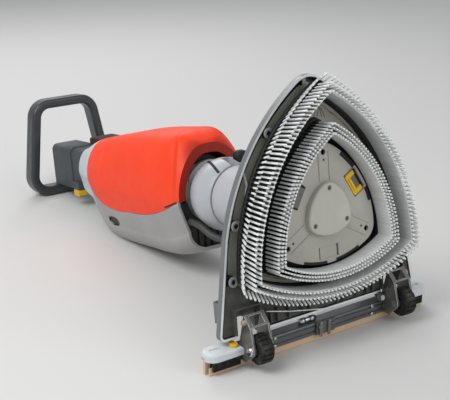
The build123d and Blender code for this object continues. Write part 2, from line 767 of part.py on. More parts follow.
def make_splash_skirt():
    """Rubber strip inside the lip."""
    outside = offset(deck_outline(), amount=-LIP_WALL)
    skirt = slab(outside - offset(outside, amount=-SKIRT_THICK), SKIRT_FRONT, DECK_FLOOR)
    return skirt - wheel_wells() - bumper_discs(BUMPER_RADIUS + SEAT_GAP, BUMPER_FRONT, DECK_FLOOR)


def make_deck_bumpers():
    """Round bumpers between the lip and the brush, each with a screw recess."""
    back = BUMPER_FRONT + BUMPER_THICK
    bumpers = []
    for disc in bumper_discs(BUMPER_RADIUS, BUMPER_FRONT, back):
        bumpers.append(chamfer(disc.faces().sort_by(Axis.Y)[0].edges(), BUMPER_EDGE))
    recesses = bumper_discs(BUMPER_RADIUS / 2, BUMPER_FRONT, BUMPER_FRONT + BUMPER_THICK / 2)
    return Compound(children=[bumper - recess for bumper, recess in zip(bumpers, recesses)])


def make_rear_panel():
    """Panel between the brush and the rear edge, with ribs and raised rims round the wheel wells."""
    outline = offset(deck_outline(), amount=-PANEL_EDGE)
    outline &= Pos(0, REAR_Z) * Rectangle(3 * REAR_HALF, 2 * PANEL_HEIGHT)
    keep_out = Pos(0, DRIVE_Z) * rounded_reuleaux(PANEL_KEEP_WIDTH, PANEL_KEEP_CORNER)
    panel = slab(outline - keep_out, PANEL_FRONT, DECK_FLOOR)
    well_x, well_z = (WELL_INNER + WELL_OUTER) / 2, (REAR_Z + WELL_TOP) / 2
    frame = Rectangle(WELL_OUTER - WELL_INNER + 2 * WELL_RIM, WELL_TOP - REAR_Z + 2 * WELL_RIM)
    frame = (Pos(well_x, well_z) * frame) & (outline - keep_out)
    rim = slab(frame, PANEL_FRONT - WELL_RIM_HEIGHT, PANEL_FRONT)
    panel += both_sides(rim)
    ring_low = OUTER_BACKING_WIDTH - rounded_reach(OUTER_BACKING_WIDTH, BACKING_CORNER) + ORBIT
    rib_top, rib_bottom = DRIVE_Z - ring_low - RIB_AIR, REAR_Z + PANEL_EDGE + RIB_AIR
    for x in PANEL_RIB_XS:
        rib = Pos(x, (rib_top + rib_bottom) / 2) * Rectangle(PANEL_RIB_WIDTH, rib_top - rib_bottom)
        panel += both_sides(slab(rib, PANEL_FRONT - PANEL_RIB_HEIGHT, PANEL_FRONT))
    return panel - wheel_wells() - bumper_discs(BUMPER_RADIUS + SEAT_GAP, BUMPER_FRONT, DECK_FLOOR)


def make_drive_motor():
    motor = round_slab(MOTOR_RADIUS, MOTOR_FRONT, MOTOR_BACK, 0, DRIVE_Z)
    motor = chamfer(motor.faces().sort_by(Axis.Y)[-1].edges(), MOTOR_EDGE)
    return motor - round_slab(JOURNAL_RADIUS + RUN_GAP, MOTOR_FRONT, MOTOR_BACK, 0, DRIVE_Z)


def make_motor_cover():
    inside = MOTOR_COVER_RADIUS - MOTOR_COVER_WALL
    cover = round_slab(MOTOR_COVER_RADIUS, DECK_BACK, COVER_BACK, 0, DRIVE_Z)
    cover = fillet(cover.faces().sort_by(Axis.Y)[-1].edges(), MOTOR_COVER_EDGE)
    return cover - round_slab(inside, DECK_BACK, COVER_BACK - MOTOR_COVER_WALL, 0, DRIVE_Z)


# Neck


def neck_turned(points):
    """Solid turned about the neck axis from points given as Y and radius."""
    profile = make_face(Polyline(*[(y, radius) for y, radius in points], close=True))
    placed = Pos(0, 0, NECK_Z) * (Plane.YZ * profile)
    return revolve(placed, axis=Axis((0, 0, NECK_Z), (0, 1, 0)))


def make_neck_cone():
    """Cone on the deck side: a flared shell, two arms to the tilt pin and a spigot for the swivel."""
    wall_y = CONE_TIP_Y - CONE_FLOOR
    cone = neck_turned([(CONE_BASE_Y, 0), (CONE_BASE_Y, CONE_BASE_RADIUS), (CONE_TIP_Y, CONE_TIP_RADIUS),
                        (CONE_TIP_Y, SPIGOT_RADIUS), (SPIGOT_END, SPIGOT_RADIUS), (SPIGOT_END, 0)])
    cone -= neck_turned([(CONE_BASE_Y, 0), (CONE_BASE_Y, CONE_BASE_RADIUS - CONE_WALL),
                         (wall_y, CONE_TIP_RADIUS - CONE_WALL), (wall_y, SPIGOT_RADIUS - SPIGOT_WALL),
                         (SPIGOT_END, SPIGOT_RADIUS - SPIGOT_WALL), (SPIGOT_END, 0)])
    eye = Pos(TILT_Y, NECK_Z) * Circle(LUG_RADIUS)
    root = Pos((CONE_BASE_Y + wall_y) / 2, NECK_Z) * Rectangle(wall_y - CONE_BASE_Y, LUG_RADIUS * 2)
    arm = side_slab(make_hull([*eye.edges(), *root.edges()]), ARM_INNER, ARM_OUTER)
    web_half = CONE_BASE_RADIUS - CONE_WALL / 2
    web = Pos(wall_y - CONE_FLOOR, NECK_Z) * Rectangle(2 * CONE_FLOOR, LUG_RADIUS)
    arm += side_slab(web, ARM_INNER, CONE_TIP_RADIUS - CONE_WALL / 2) & neck_turned(
        [(CONE_BASE_Y, 0), (CONE_BASE_Y, web_half), (CONE_TIP_Y, CONE_TIP_RADIUS - SINK), (CONE_TIP_Y, 0)])
    arm -= rod(TILT_PIN_RADIUS + BUSH_WALL, ARM_INNER, ARM_OUTER, TILT_Y, NECK_Z)
    return cone + both_sides(arm)


def make_pivot_bushes():
    """Two bushes in the arms of the cone."""
    bush = rod(TILT_PIN_RADIUS + BUSH_WALL, ARM_INNER, ARM_OUTER, TILT_Y, NECK_Z)
    bush -= rod(TILT_PIN_RADIUS + RUN_GAP, ARM_INNER, ARM_OUTER, TILT_Y, NECK_Z)
    return Compound(children=[bush, mirror(bush, about=Plane.YZ)])


def make_tilt_pin():
    pin = rod(TILT_PIN_RADIUS, -LUG_OUTER, LUG_OUTER, TILT_Y, NECK_Z)
    return chamfer(pin.faces().filter_by(GeomType.PLANE).edges(), TILT_PIN_EDGE)


def make_neck_ring():
    """Retaining ring on the spigot behind the bush."""
    back, outside = RETAINER_FRONT + RETAINER_THICK, SPIGOT_RADIUS + RETAINER_WIDTH
    return neck_turned([(RETAINER_FRONT, SPIGOT_RADIUS), (RETAINER_FRONT, outside), (back, outside),
                        (back, SPIGOT_RADIUS)])


def make_neck_bush():
    back, bore = SEAM_Y + NECK_BUSH_LENGTH, SPIGOT_RADIUS + RUN_GAP
    return neck_turned([(SEAM_Y, bore), (SEAM_Y, BARREL_BORE), (back, BARREL_BORE), (back, bore)])


def ball_radius_at(y):
    """Radius of the round barrel about the neck axis."""
    return sqrt(BALL_RADIUS ** 2 - (y - BALL_Y) ** 2)


def make_neck_barrel():
    """Round barrel on the body: a ball cut at the seam, bored for the swivel, with a bolting flange."""
    barrel = Pos(0, BALL_Y, NECK_Z) * Sphere(BALL_RADIUS)
    low, high = NECK_Z - BALL_RADIUS, NECK_Z + BALL_RADIUS
    barrel &= block((-BALL_RADIUS, BALL_RADIUS), (SEAM_Y, FLANGE_FRONT + SINK), (low, high))
    barrel += round_slab(FLANGE_RADIUS, FLANGE_FRONT, BULKHEAD_FRONT, 0, NECK_Z)
    bore_end = SEAM_Y + NECK_BUSH_LENGTH
    barrel -= round_slab(BARREL_BORE, SEAM_Y, bore_end, 0, NECK_Z)
    well = SPIGOT_RADIUS + RETAINER_WIDTH + SLIDE_GAP
    barrel -= round_slab(well, bore_end, BARREL_WELL, 0, NECK_Z)
    slot_top = NECK_Z + BALL_RADIUS
    return barrel - block((-SLOT_HALF, SLOT_HALF), (SEAM_Y, SEAM_Y + SLOT_LENGTH),
                          (NECK_Z + BARREL_BORE - NECK_BUSH_WALL / 2, slot_top))


def make_flange_screws():
    """Heads of the screws through the barrel flange into the bulkhead."""
    screws = []
    for step in range(FLANGE_SCREW_COUNT):
        x, z = polar(FLANGE_SCREW_REACH, FLANGE_SCREW_START + step * 360 / FLANGE_SCREW_COUNT)
        top = FLANGE_FRONT - FLANGE_SCREW_HEAD
        screws.append(round_slab(FLANGE_SCREW_RADIUS, top, FLANGE_FRONT, x, NECK_Z + z))
    return Compound(children=screws)


# Body shells


def body_section(section, inset):
    """Closed outline of the body: a crowned arch over the waist and a rounded box below it."""
    y, half, top, bottom, foot, corner, crown = section
    half, top, bottom, foot, corner = half - inset, top - inset, bottom + inset, foot - inset, corner - inset
    bend = corner * (1 - sqrt(0.5))
    height = top - WAIST_Z
    edges = [
        EllipticalCenterArc((crown, WAIST_Z), half - crown, height, start_angle=0, arc_size=90),
        Line((crown, top), (-crown, top)),
        EllipticalCenterArc((-crown, WAIST_Z), half - crown, height, start_angle=90, arc_size=90),
        Line((-half, WAIST_Z), (-foot, bottom + corner)),
        ThreePointArc((-foot, bottom + corner), (-foot + bend, bottom + bend), (-foot + corner, bottom)),
        Line((-foot + corner, bottom), (foot - corner, bottom)),
        ThreePointArc((foot - corner, bottom), (foot - bend, bottom + bend), (foot, bottom + corner)),
        Line((foot, bottom + corner), (half, WAIST_Z)),
    ]
    return deck_plane(y) * make_face(edges)


def body_form(inset):
    """Whole outer form of the body, or the form inset by a wall."""
    return loft([body_section(section, inset) for section in BODY_SECTIONS])


def parting_edges(drop):
    """Parting line between hood and housing from front to back, moved down by drop: edges in Y and Z."""
    line = (MOUTH_FOOT, PARTING_MID, PARTING_LOW, PARTING_BACK, PARTING_END)
    points = [Vector(y, z - drop) for y, z in line]
    front_half = ThreePointArc(points[0], points[1], points[2])
    back_half = ThreePointArc(points[2], points[3], points[4])
    return [front_half, back_half]


def hood_region():
    """Side view of the hood in Y and Z, open well above the body."""
    slope = (MOUTH_TOP[0] - MOUTH_FOOT[0]) / (MOUTH_TOP[1] - MOUTH_FOOT[1])
    top = MOUTH_TOP[1] + REGION_ROOM
    mouth = (MOUTH_TOP[0] + slope * REGION_ROOM, top)
    back = (HOOD_BACK_TOP[0], top)
    edges = parting_edges(0)
    edges.append(ThreePointArc(PARTING_END, HOOD_BACK_MID, HOOD_BACK_TOP))
    edges += [Line(HOOD_BACK_TOP, back), Line(back, mouth), Line(mouth, MOUTH_FOOT)]
    return make_face(edges)


def make_tank_hood():
    """Red shell over the body with a thick rim round its mouth."""
    region = side_slab(hood_region(), -REAR_HALF, REAR_HALF)
    form = body_form(0) & region
    hood = form - body_form(BODY_WALL)
    lip_band = region - Pos(0, HOOD_LIP_DEPTH, 0) * region
    return hood + ((form - body_form(HOOD_LIP)) & lip_band)


def housing_region():
    """Side view of the lower housing in Y and Z."""
    low = min(section[3] for section in BODY_SECTIONS) - REGION_ROOM
    front, back = parting_edges(SHELL_GAP)
    start, end = front @ 0, back @ 1
    low_end, low_start = (end.X, low), (start.X, low)
    return make_face([front, back, Line(end, low_end), Line(low_end, low_start), Line(low_start, start)])


def floor_cut(solid):
    """Cut a solid flat where it lies on the floor."""
    floor = block((-REAR_HALF, REAR_HALF), (0, 2 * LOOP_Y), (-2 * BRUSH_HEIGHT, -BRUSH_HEIGHT))
    return solid - Rot(LEAN, 0, 0) * floor


def neck_room(extra):
    """Space kept free round the barrel."""
    return Pos(0, BALL_Y, NECK_Z) * Sphere(BALL_RADIUS + extra)


def make_rear_housing():
    """Grey lower shell with the bulkhead that carries the neck and a shelf for the battery."""
    region = side_slab(housing_region(), -REAR_HALF, REAR_HALF)
    form = body_form(0) & region
    front = block((-REAR_HALF, REAR_HALF), (0, BODY_FRONT), (-BRUSH_HEIGHT, BRUSH_HEIGHT))
    form -= front
    housing = form - body_form(BODY_WALL)
    span = (BULKHEAD_FRONT, BULKHEAD_BACK)
    wide = (-REAR_HALF, REAR_HALF)
    housing += form & block(wide, span, (-BRUSH_HEIGHT, BRUSH_HEIGHT))
    tongue = block((-TONGUE_HALF, TONGUE_HALF), span, (WAIST_Z - TONGUE_SINK, TONGUE_TOP))
    housing += fillet(tongue.edges().filter_by(Axis.Y).group_by(Axis.Z)[-1], TONGUE_CORNER)
    inside = body_form(BODY_WALL - SINK)
    shelf = block(wide, (BULKHEAD_BACK - SINK, BATTERY_FRONT + BATTERY_LENGTH), (-BRUSH_HEIGHT, SHELF_TOP))
    housing += inside & shelf & region
    back_wall = block(wide, (PARTING_END[0] - BODY_WALL, PARTING_END[0]), (-BRUSH_HEIGHT, BRUSH_HEIGHT))
    housing += form & back_wall
    slot = Pos(RECESS_Y, RECESS_Z) * SlotOverall(RECESS_LENGTH, RECESS_HEIGHT)
    recess = side_slab(slot, WAIST_HALF / 2, WAIST_HALF)
    housing -= both_sides(recess - body_form(RECESS_DEPTH))
    return floor_cut(housing - neck_room(NECK_AIR))


def make_front_cap():
    """Black ribbed cap that closes the front of the housing under the neck."""
    region = side_slab(Pos(0, -CAP_DROP) * housing_region(), -REAR_HALF, REAR_HALF)
    form = body_form(BODY_WALL + SEAT_GAP) & region
    wide, tall = (-REAR_HALF, REAR_HALF), (-BRUSH_HEIGHT, BRUSH_HEIGHT)
    cap = form & block(wide, (CAP_FRONT, BULKHEAD_FRONT - SEAT_GAP), tall)
    for step in range(CAP_RIB_COUNT):
        x = (step - (CAP_RIB_COUNT - 1) / 2) * CAP_RIB_PITCH
        span_x = (x - CAP_RIB_WIDTH / 2, x + CAP_RIB_WIDTH / 2)
        cap -= block(span_x, (CAP_FRONT - PAST, CAP_FRONT + CAP_RIB_HEIGHT), tall)
    flange_room = round_slab(FLANGE_RADIUS + NECK_AIR, CAP_FRONT - PAST, BULKHEAD_FRONT, 0, NECK_Z)
    return cap - neck_room(NECK_AIR) - flange_room


def collar_region():
    """Side view of the rear collar in Y and Z, behind the hood and the housing."""
    low = min(section[3] for section in BODY_SECTIONS) - REGION_ROOM
    high = MOUTH_TOP[1] + REGION_ROOM
    end = (PARTING_END[0] + SHELL_GAP, PARTING_END[1])
    mid = (HOOD_BACK_MID[0] + SHELL_GAP, HOOD_BACK_MID[1])
    top = (HOOD_BACK_TOP[0] + SHELL_GAP, HOOD_BACK_TOP[1])
    corners = [top, (top[0], high), (COLLAR_BACK, high), (COLLAR_BACK, low), (end[0], low), end]
    edges = [Line(a, b) for a, b in zip(corners, corners[1:])]
    return make_face([ThreePointArc(end, mid, top), *edges])


def lid_plate(gap, air):
    """Curved plate of the lid in the top of the collar, grown by a gap all round and by air underneath."""
    half = LID_HALF + gap
    column = block((-half, half), (LID_FRONT - gap, LID_BACK + gap), (LID_FLOOR, BRUSH_WIDTH))
    return (body_form(0) & column) - body_form(LID_THICK + air)


def lid_hinge():
    """Y and Z of the lid's hinge, just above the crown of its rear edge."""
    rear = lid_plate(0, 0).vertices().group_by(Axis.Y)[-1]
    return LID_BACK, max(vertex.Z for vertex in rear) + KNUCKLE_RISE


def lid_knuckle(gap):
    """Round knuckle on the hinge of the lid, grown by a gap."""
    return rod(KNUCKLE_RADIUS + gap, -KNUCKLE_HALF - gap, KNUCKLE_HALF + gap, *lid_hinge())


def make_rear_collar():
    """Light collar behind the hood: a thick shell with a closed back and a seat for the lid."""
    collar = body_form(0) & side_slab(collar_region(), -REAR_HALF, REAR_HALF)
    room = block((-REAR_HALF, REAR_HALF), (0, COLLAR_BACK - COLLAR_WALL), (-BRUSH_HEIGHT, BRUSH_HEIGHT))
    collar -= body_form(COLLAR_WALL) & room
    return collar - lid_plate(SLIDE_GAP, LID_AIR) - lid_knuckle(SLIDE_GAP)


def make_tank_lid():
    """Dark curved lid in the top of the collar, with a knuckle on its rear edge."""
    return lid_plate(0, 0) + lid_knuckle(0)


# Handle


def stem_section(half, bottom, top, y):
    outline = RectangleRounded(2 * half, top - bottom, STEM_CORNER)
    return deck_plane(y) * Pos(0, (top + bottom) / 2) * outline


def make_handle_stem():
    """Stem from the collar to the pod, with a boss for the clip under its left side."""
    front = stem_section(STEM_HALF, STEM_BOTTOM, STEM_TOP, COLLAR_BACK)
    back = stem_section(POD_HALF - POD_STEP, loop_inner_bottom() + STEM_LIFT, POD_TOP - POD_STEP, POD_FRONT)
    boss = block(*clip_spans(), (STEM_BOTTOM, STEM_BOTTOM + CLIP_BOSS))
    return loft([front, back]) + boss


def loop_bottom():
    """Z of the lowest edge of the loop, which lies on the floor."""
    lean = radians(LEAN)
    return (-BRUSH_HEIGHT + LOOP_Y * sin(lean)) / cos(lean)


def loop_inner_bottom():
    return loop_bottom() + LOOP_BAR


def make_handle_loop():
    """Closed loop of the handle: a rounded trapezoid ring with soft edges."""
    low = loop_bottom()
    points = [(-LOOP_BOTTOM_HALF, low), (LOOP_BOTTOM_HALF, low)]
    points += [(LOOP_TOP_HALF, LOOP_TOP), (-LOOP_TOP_HALF, LOOP_TOP)]
    outline = make_face(Polyline(*points, close=True))
    outline = fillet(outline.vertices(), LOOP_CORNER)
    ring = outline - offset(outline, amount=-LOOP_BAR)
    loop = slab(ring, LOOP_Y - LOOP_DEPTH / 2, LOOP_Y + LOOP_DEPTH / 2)
    faces = loop.faces().sort_by(Axis.Y)
    loop = fillet(faces[0].edges() + faces[-1].edges(), LOOP_EDGE)
    return floor_cut(loop)


def button_pocket(x):
    return round_slab(BUTTON_RADIUS + BUTTON_GAP, POD_BACK - BUTTON_LENGTH, POD_BACK, x, BUTTON_Z)


def make_control_pod():
    """Control pod on the lower bar of the loop, with pockets for the buttons and the display."""
    bottom = loop_inner_bottom()
    pod = block((-POD_HALF, POD_HALF), (POD_FRONT, POD_BACK), (bottom, POD_TOP))
    pod = fillet(pod.edges().filter_by(Axis.Y).group_by(Axis.Z)[-1], POD_CORNER)
    pod = fillet(pod.faces().sort_by(Axis.Y)[-1].edges().group_by(Axis.Z)[-1], POD_EDGE)
    pod -= block((-LENS_HALF, LENS_HALF), (POD_BACK - LENS_THICK, POD_BACK + PAST), (LENS_BOTTOM, LENS_TOP))
    for x in BUTTON_XS:
        pod -= button_pocket(x)
    return pod


def make_display_lens():
    gap = SEAT_GAP
    return block((-LENS_HALF + gap, LENS_HALF - gap), (POD_BACK - LENS_THICK + gap, POD_BACK - gap),
                 (LENS_BOTTOM + gap, LENS_TOP - gap))


def make_button(x):
    front = POD_BACK + BUTTON_PROUD - BUTTON_LENGTH
    button = round_slab(BUTTON_RADIUS, front, POD_BACK + BUTTON_PROUD, x, BUTTON_Z)
    return chamfer(button.faces().sort_by(Axis.Y)[-1].edges(), BUTTON_EDGE)


def clip_spans(share=1.0):
    """Spans of the clip in X and Y, or of a share of it about the same middle."""
    half_width, half_length = CLIP_SIZE[0] * share / 2, CLIP_SIZE[1] * share / 2
    return (CLIP_X - half_width, CLIP_X + half_width), (CLIP_Y - half_length, CLIP_Y + half_length)


def make_stem_clip():
    """Yellow clip under the stem, rounded about its pivot, with a finger recess."""
    bottom = CLIP_TOP - CLIP_SIZE[2]
    clip = block(*clip_spans(), (bottom, CLIP_TOP))
    edges = clip.edges().filter_by(Axis.X).group_by(Axis.Z)
    clip = fillet(edges[-1].sort_by(Axis.Y)[:1], CLIP_PIVOT)
    clip = fillet(clip.edges().filter_by(Axis.X).group_by(Axis.Z)[0], CLIP_EDGE)
    return clip - block(*clip_spans(CLIP_RECESS), (bottom, (bottom + CLIP_TOP) / 2))


# Inside the body


def make_battery_pack():
    span_y = (BATTERY_FRONT, BATTERY_FRONT + BATTERY_LENGTH)
    battery = block((-BATTERY_HALF, BATTERY_HALF), span_y, (SHELF_TOP, SHELF_TOP + BATTERY_HEIGHT))
    return fillet(battery.edges().filter_by(Axis.Y), BATTERY_EDGE)


def make_suction_motor():
    """Suction turbine behind the bulkhead."""
    back = BULKHEAD_BACK + SUCTION_LENGTH
    motor = round_slab(SUCTION_RADIUS, BULKHEAD_BACK, back - FAN_LENGTH, 0, SUCTION_Z)
    return motor + round_slab(FAN_RADIUS, back - FAN_LENGTH, back, 0, SUCTION_Z)


def make_water_pump():
    """Round pump on a square foot, on the shelf in front of the battery."""
    back = BATTERY_FRONT - PUMP_AIR
    span_y, axis_z = (back - PUMP_LENGTH, back), SHELF_TOP + PUMP_RADIUS
    foot = block((PUMP_X - PUMP_RADIUS, PUMP_X + PUMP_RADIUS), span_y, (SHELF_TOP, axis_z))
    return round_slab(PUMP_RADIUS, *span_y, PUMP_X, axis_z) + foot


def make_control_board():
    """Circuit board on the battery with a row of chips."""
    base = SHELF_TOP + BATTERY_HEIGHT
    span_y = (BATTERY_FRONT, BATTERY_FRONT + BOARD_LENGTH)
    board = block((-BOARD_HALF, BOARD_HALF), span_y, (base, base + BOARD_THICK))
    width, length, height = CHIP_SIZE
    for step in range(CHIP_COUNT):
        y = BATTERY_FRONT + (step + 0.5) * BOARD_LENGTH / CHIP_COUNT
        board += block((-width / 2, width / 2), (y - length / 2, y + length / 2), (base, base + height))
    return board


# Hose


def make_water_hose():
    """Hose from the front cap to the cone, with its bore."""
    route = FilletPolyline(*HOSE_POINTS, radius=HOSE_BEND)
    start = Plane(origin=route @ 0, z_dir=route % 0)
    return sweep(start * (Circle(HOSE_RADIUS) - Circle(HOSE_BORE)), path=route)


def make_hose_gland():
    """Gland on the front cap where the hose leaves the body."""
    x, y, z = HOSE_POINTS[0]
    gland = round_slab(GLAND_RADIUS, y, CAP_FRONT, x, z)
    return chamfer(gland.faces().sort_by(Axis.Y)[0].edges(), GLAND_EDGE)


def make_hose_fitting():
    """Fitting under the cone where the hose ends."""
    x, y, z = HOSE_POINTS[-1]
    fitting = round_slab(FITTING_RADIUS, y - FITTING_LENGTH, y, x, z)
    width, length, height = FITTING_FOOT
    front = y - FITTING_LENGTH
    foot = block((x - width / 2, x + width / 2), (front, front + length), (z, z + height))
    room = neck_turned([(CONE_BASE_Y, 0), (CONE_BASE_Y, CONE_BASE_RADIUS), (CONE_TIP_Y, CONE_TIP_RADIUS),
                        (CONE_TIP_Y, 0)])
    return fitting + foot - room


# Rear carriage, in floor axes


def make_squeegee_bar():
    """Channel that holds the two blades, with grooves along its front."""
    end = BRACKET_OUTER
    bar = block((-end, end), (BAR_FRONT, BAR_BACK), (BAR_BOTTOM, BAR_TOP))
    bar = fillet(bar.edges().filter_by(Axis.X).group_by(Axis.Z)[-1], BAR_EDGE)
    for z in BAR_GROOVE_ZS:
        span_z = (z - BAR_GROOVE_WIDTH / 2, z + BAR_GROOVE_WIDTH / 2)
        bar -= block((-end, end), (BAR_FRONT, BAR_FRONT + BAR_GROOVE_DEPTH), span_z)
    return bar - block((-end, end), (BLADE_FRONT, BLADE_BACK), (BAR_BOTTOM, BAR_TOP - BAR_WEB))


def make_front_blade():
    """Front strip in the channel, with a notched blade hanging from each end outside the brackets."""
    half, low, near = FRONT_BLADE_HALF, -BRUSH_HEIGHT + FRONT_BLADE_DROP, BRACKET_END + SEAT_GAP
    span_y = (BLADE_FRONT, REAR_BLADE_FRONT)
    end = block((near, half), span_y, (low, BLADE_TOP))
    for step in range(int((half - near) / NOTCH_PITCH)):
        x = near + (step + 0.5) * NOTCH_PITCH
        end -= block((x - NOTCH_WIDTH / 2, x + NOTCH_WIDTH / 2), span_y, (low, low + NOTCH_HEIGHT))
    return block((-near, near), span_y, (BAR_BOTTOM, BLADE_TOP)) + both_sides(end)


def make_rear_blade():
    half = REAR_BLADE_HALF
    return block((-half, half), (REAR_BLADE_FRONT, BLADE_BACK), (-BRUSH_HEIGHT, BLADE_TOP))


def make_end_cap(side):
    """Flat rounded cap over the blade ends; side is -1 on the left and 1 on the right."""
    length, width = CAP_END - BRACKET_END, CAP_FAR - CAP_NEAR
    middle_y = (CAP_NEAR + CAP_FAR) / 2
    tail = Pos(BRACKET_END + length / 4, middle_y) * Rectangle(length / 2, width)
    nose = Pos(CAP_END - width / 2, middle_y) * Circle(width / 2)
    outline = make_hull([*tail.edges(), *nose.edges()])
    cap = extrude(Plane.XY.offset(CAP_BOTTOM) * outline, amount=CAP_TOP - CAP_BOTTOM)
    cap = fillet(cap.faces().sort_by(Axis.Z)[-1].edges(), CAP_EDGE)
    cap -= block((BRACKET_END, CAP_END), (BLADE_FRONT, BLADE_BACK), (CAP_BOTTOM, BLADE_TOP + SEAT_GAP))
    slot_length, slot_width, slot_depth = CAP_SLOT
    slot = Pos(CAP_END - width / 2 - CAP_SLOT_SHIFT, middle_y) * SlotOverall(slot_length, slot_width)
    cap -= extrude(Plane.XY.offset(CAP_TOP - slot_depth) * slot, amount=slot_depth)
    return cap if side > 0 else mirror(cap, about=Plane.YZ)


def bracket_hull(*shapes):
    edges = []
    for shape in shapes:
        edges += shape.edges()
    return make_hull(edges)


def make_bracket(side):
    """Wheel bracket: two plates fixed to the bar, joined over the wheel by a sloping guard with a window."""
    axle_eye = Pos(*AXLE) * Circle(BRACKET_EYE)
    hinge_eye = Pos(*HINGE) * Circle(HINGE_EAR_RADIUS)
    foot_y, foot_z = BAR_FRONT - BRACKET_FOOT / 2, (BAR_TOP + BAR_BOTTOM) / 2
    foot = Pos(foot_y, foot_z) * Rectangle(BRACKET_FOOT, BAR_TOP - BAR_BOTTOM)
    (low_y, low_z), (high_y, high_z) = GUARD_LOW, GUARD_HIGH
    slope = Vector(high_y - low_y, high_z - low_z)
    middle = Pos((low_y + high_y) / 2, (low_z + high_z) / 2) * Rot(0, 0, slope.get_angle(Vector(1, 0)))
    guard = middle * Rectangle(slope.length, GUARD_THICK)
    inner_end = BRACKET_INNER + BRACKET_THICK
    inner = side_slab(bracket_hull(axle_eye, hinge_eye, guard, foot), BRACKET_INNER, inner_end)
    inner -= rod(HINGE_PIN_RADIUS, BRACKET_INNER, inner_end, *HINGE)
    inner -= block((BRACKET_INNER, BRACKET_OUTER), (BAR_FRONT, BAR_BACK), (BAR_BOTTOM, BAR_TOP))
    arm = Pos((BLADE_FRONT + BAR_FRONT) / 2, foot_z) * Rectangle(BLADE_FRONT - BAR_FRONT - 2 * SEAT_GAP,
                                                                BAR_TOP - BAR_BOTTOM)
    outer = side_slab(bracket_hull(axle_eye, guard, arm, foot), BRACKET_OUTER, BRACKET_END)
    bracket = inner + outer + side_slab(guard, BRACKET_INNER, BRACKET_END)
    window = middle * Rectangle(slope.length - 2 * GUARD_BAR, 2 * GUARD_THICK)
    bracket -= side_slab(window, inner_end + GUARD_BAR, BRACKET_OUTER - GUARD_BAR)
    bracket -= rod(AXLE_RADIUS, BRACKET_INNER, BRACKET_END, *AXLE)
    return bracket if side > 0 else mirror(bracket, about=Plane.YZ)


def make_axle_bolts():
    """Two axle bolts with domed heads outside the wheels."""
    bolts = []
    for side in (-1, 1):
        bolt = rod(AXLE_RADIUS, BRACKET_INNER, BRACKET_END, *AXLE)
        head = rod(AXLE_HEAD_RADIUS, BRACKET_END, BRACKET_END + AXLE_HEAD, *AXLE)
        head = chamfer(head.faces().sort_by(Axis.X)[-1].edges(), AXLE_HEAD_EDGE)
        bolt += head
        bolts.append(bolt if side > 0 else mirror(bolt, about=Plane.YZ))
    return Compound(children=bolts)


def make_carriage_pins():
    """Two hinge pins between the deck ears and the brackets."""
    pin = rod(HINGE_PIN_RADIUS, HINGE_EAR_INNER - PIN_PROUD, BRACKET_INNER + BRACKET_THICK, *HINGE)
    return Compound(children=[pin, mirror(pin, about=Plane.YZ)])


def make_bar_clamp():
    """Clamp plate in the middle of the bar."""
    plate = block((-CLAMP_HALF, CLAMP_HALF), (BAR_FRONT - CLAMP_THICK, BAR_FRONT), (BAR_BOTTOM, BAR_TOP))
    bolt = rod(CLAMP_BOLT_RADIUS, *CLAMP_BOLT_SPAN, BAR_FRONT - CLAMP_THICK, BAR_TOP - CLAMP_BOLT_DROP)
    return plate + both_sides(bolt)


def make_cap_lever():
    """Yellow lever on the left end cap."""
    base = CAP_TOP + SEAT_GAP
    arm = make_hull([*(Pos(LEVER_X, LEVER_Y) * Circle(LEVER_RADIUS)).edges(),
                     *(Pos(LEVER_X, LEVER_Y + LEVER_ARM) * Circle(LEVER_RADIUS / 2)).edges()])
    lever = extrude(Plane.XY.offset(base) * arm, amount=LEVER_THICK)
    return fillet(lever.faces().sort_by(Axis.Z)[-1].edges(), LEVER_EDGE)


def make_tyre(side):
    """Treaded tyre."""
    tyre = rod(WHEEL_RADIUS, WHEEL_INNER, WHEEL_OUTER, *AXLE)
    tyre = fillet(tyre.faces().filter_by(GeomType.PLANE).edges(), TYRE_EDGE)
    tyre -= rod(HUB_RADIUS, WHEEL_INNER, WHEEL_OUTER, *AXLE)
    grooves = []
    for step in range(TREAD_COUNT):
        notch = Pos(*AXLE) * Rot(0, 0, step * 360 / TREAD_COUNT) * Pos(WHEEL_RADIUS, 0)
        grooves.append(side_slab(notch * Rectangle(2 * TREAD_DEPTH, TREAD_WIDTH), WHEEL_INNER, WHEEL_OUTER))
    tyre -= grooves
    return tyre if side > 0 else mirror(tyre, about=Plane.YZ)


def make_hub(side):
    hub = rod(HUB_RADIUS, WHEEL_INNER, WHEEL_OUTER, *AXLE)
    dish = Pos(*AXLE) * (Circle(HUB_RADIUS - HUB_RIM) - Circle(AXLE_RADIUS + HUB_BOSS))
    hub -= side_slab(dish, WHEEL_OUTER - HUB_DISH, WHEEL_OUTER)
    hub -= side_slab(dish, WHEEL_INNER, WHEEL_INNER + HUB_DISH)
    hub -= rod(AXLE_RADIUS + RUN_GAP, WHEEL_INNER, WHEEL_OUTER, *AXLE)
    return hub if side > 0 else mirror(hub, about=Plane.YZ)


# Assembly


def inner_place(solid):
    """Move a piece of the inner brush to its throw of the shaft."""
    return Pos(0, 0, DRIVE_Z - ORBIT) * solid


def outer_place(solid):
    """Move a piece of the outer brush to the opposite throw."""
    return Pos(0, 0, DRIVE_Z + ORBIT) * solid


def drive_place(solid):
    """Move a piece to the drive axis."""
    return Pos(0, 0, DRIVE_Z) * solid


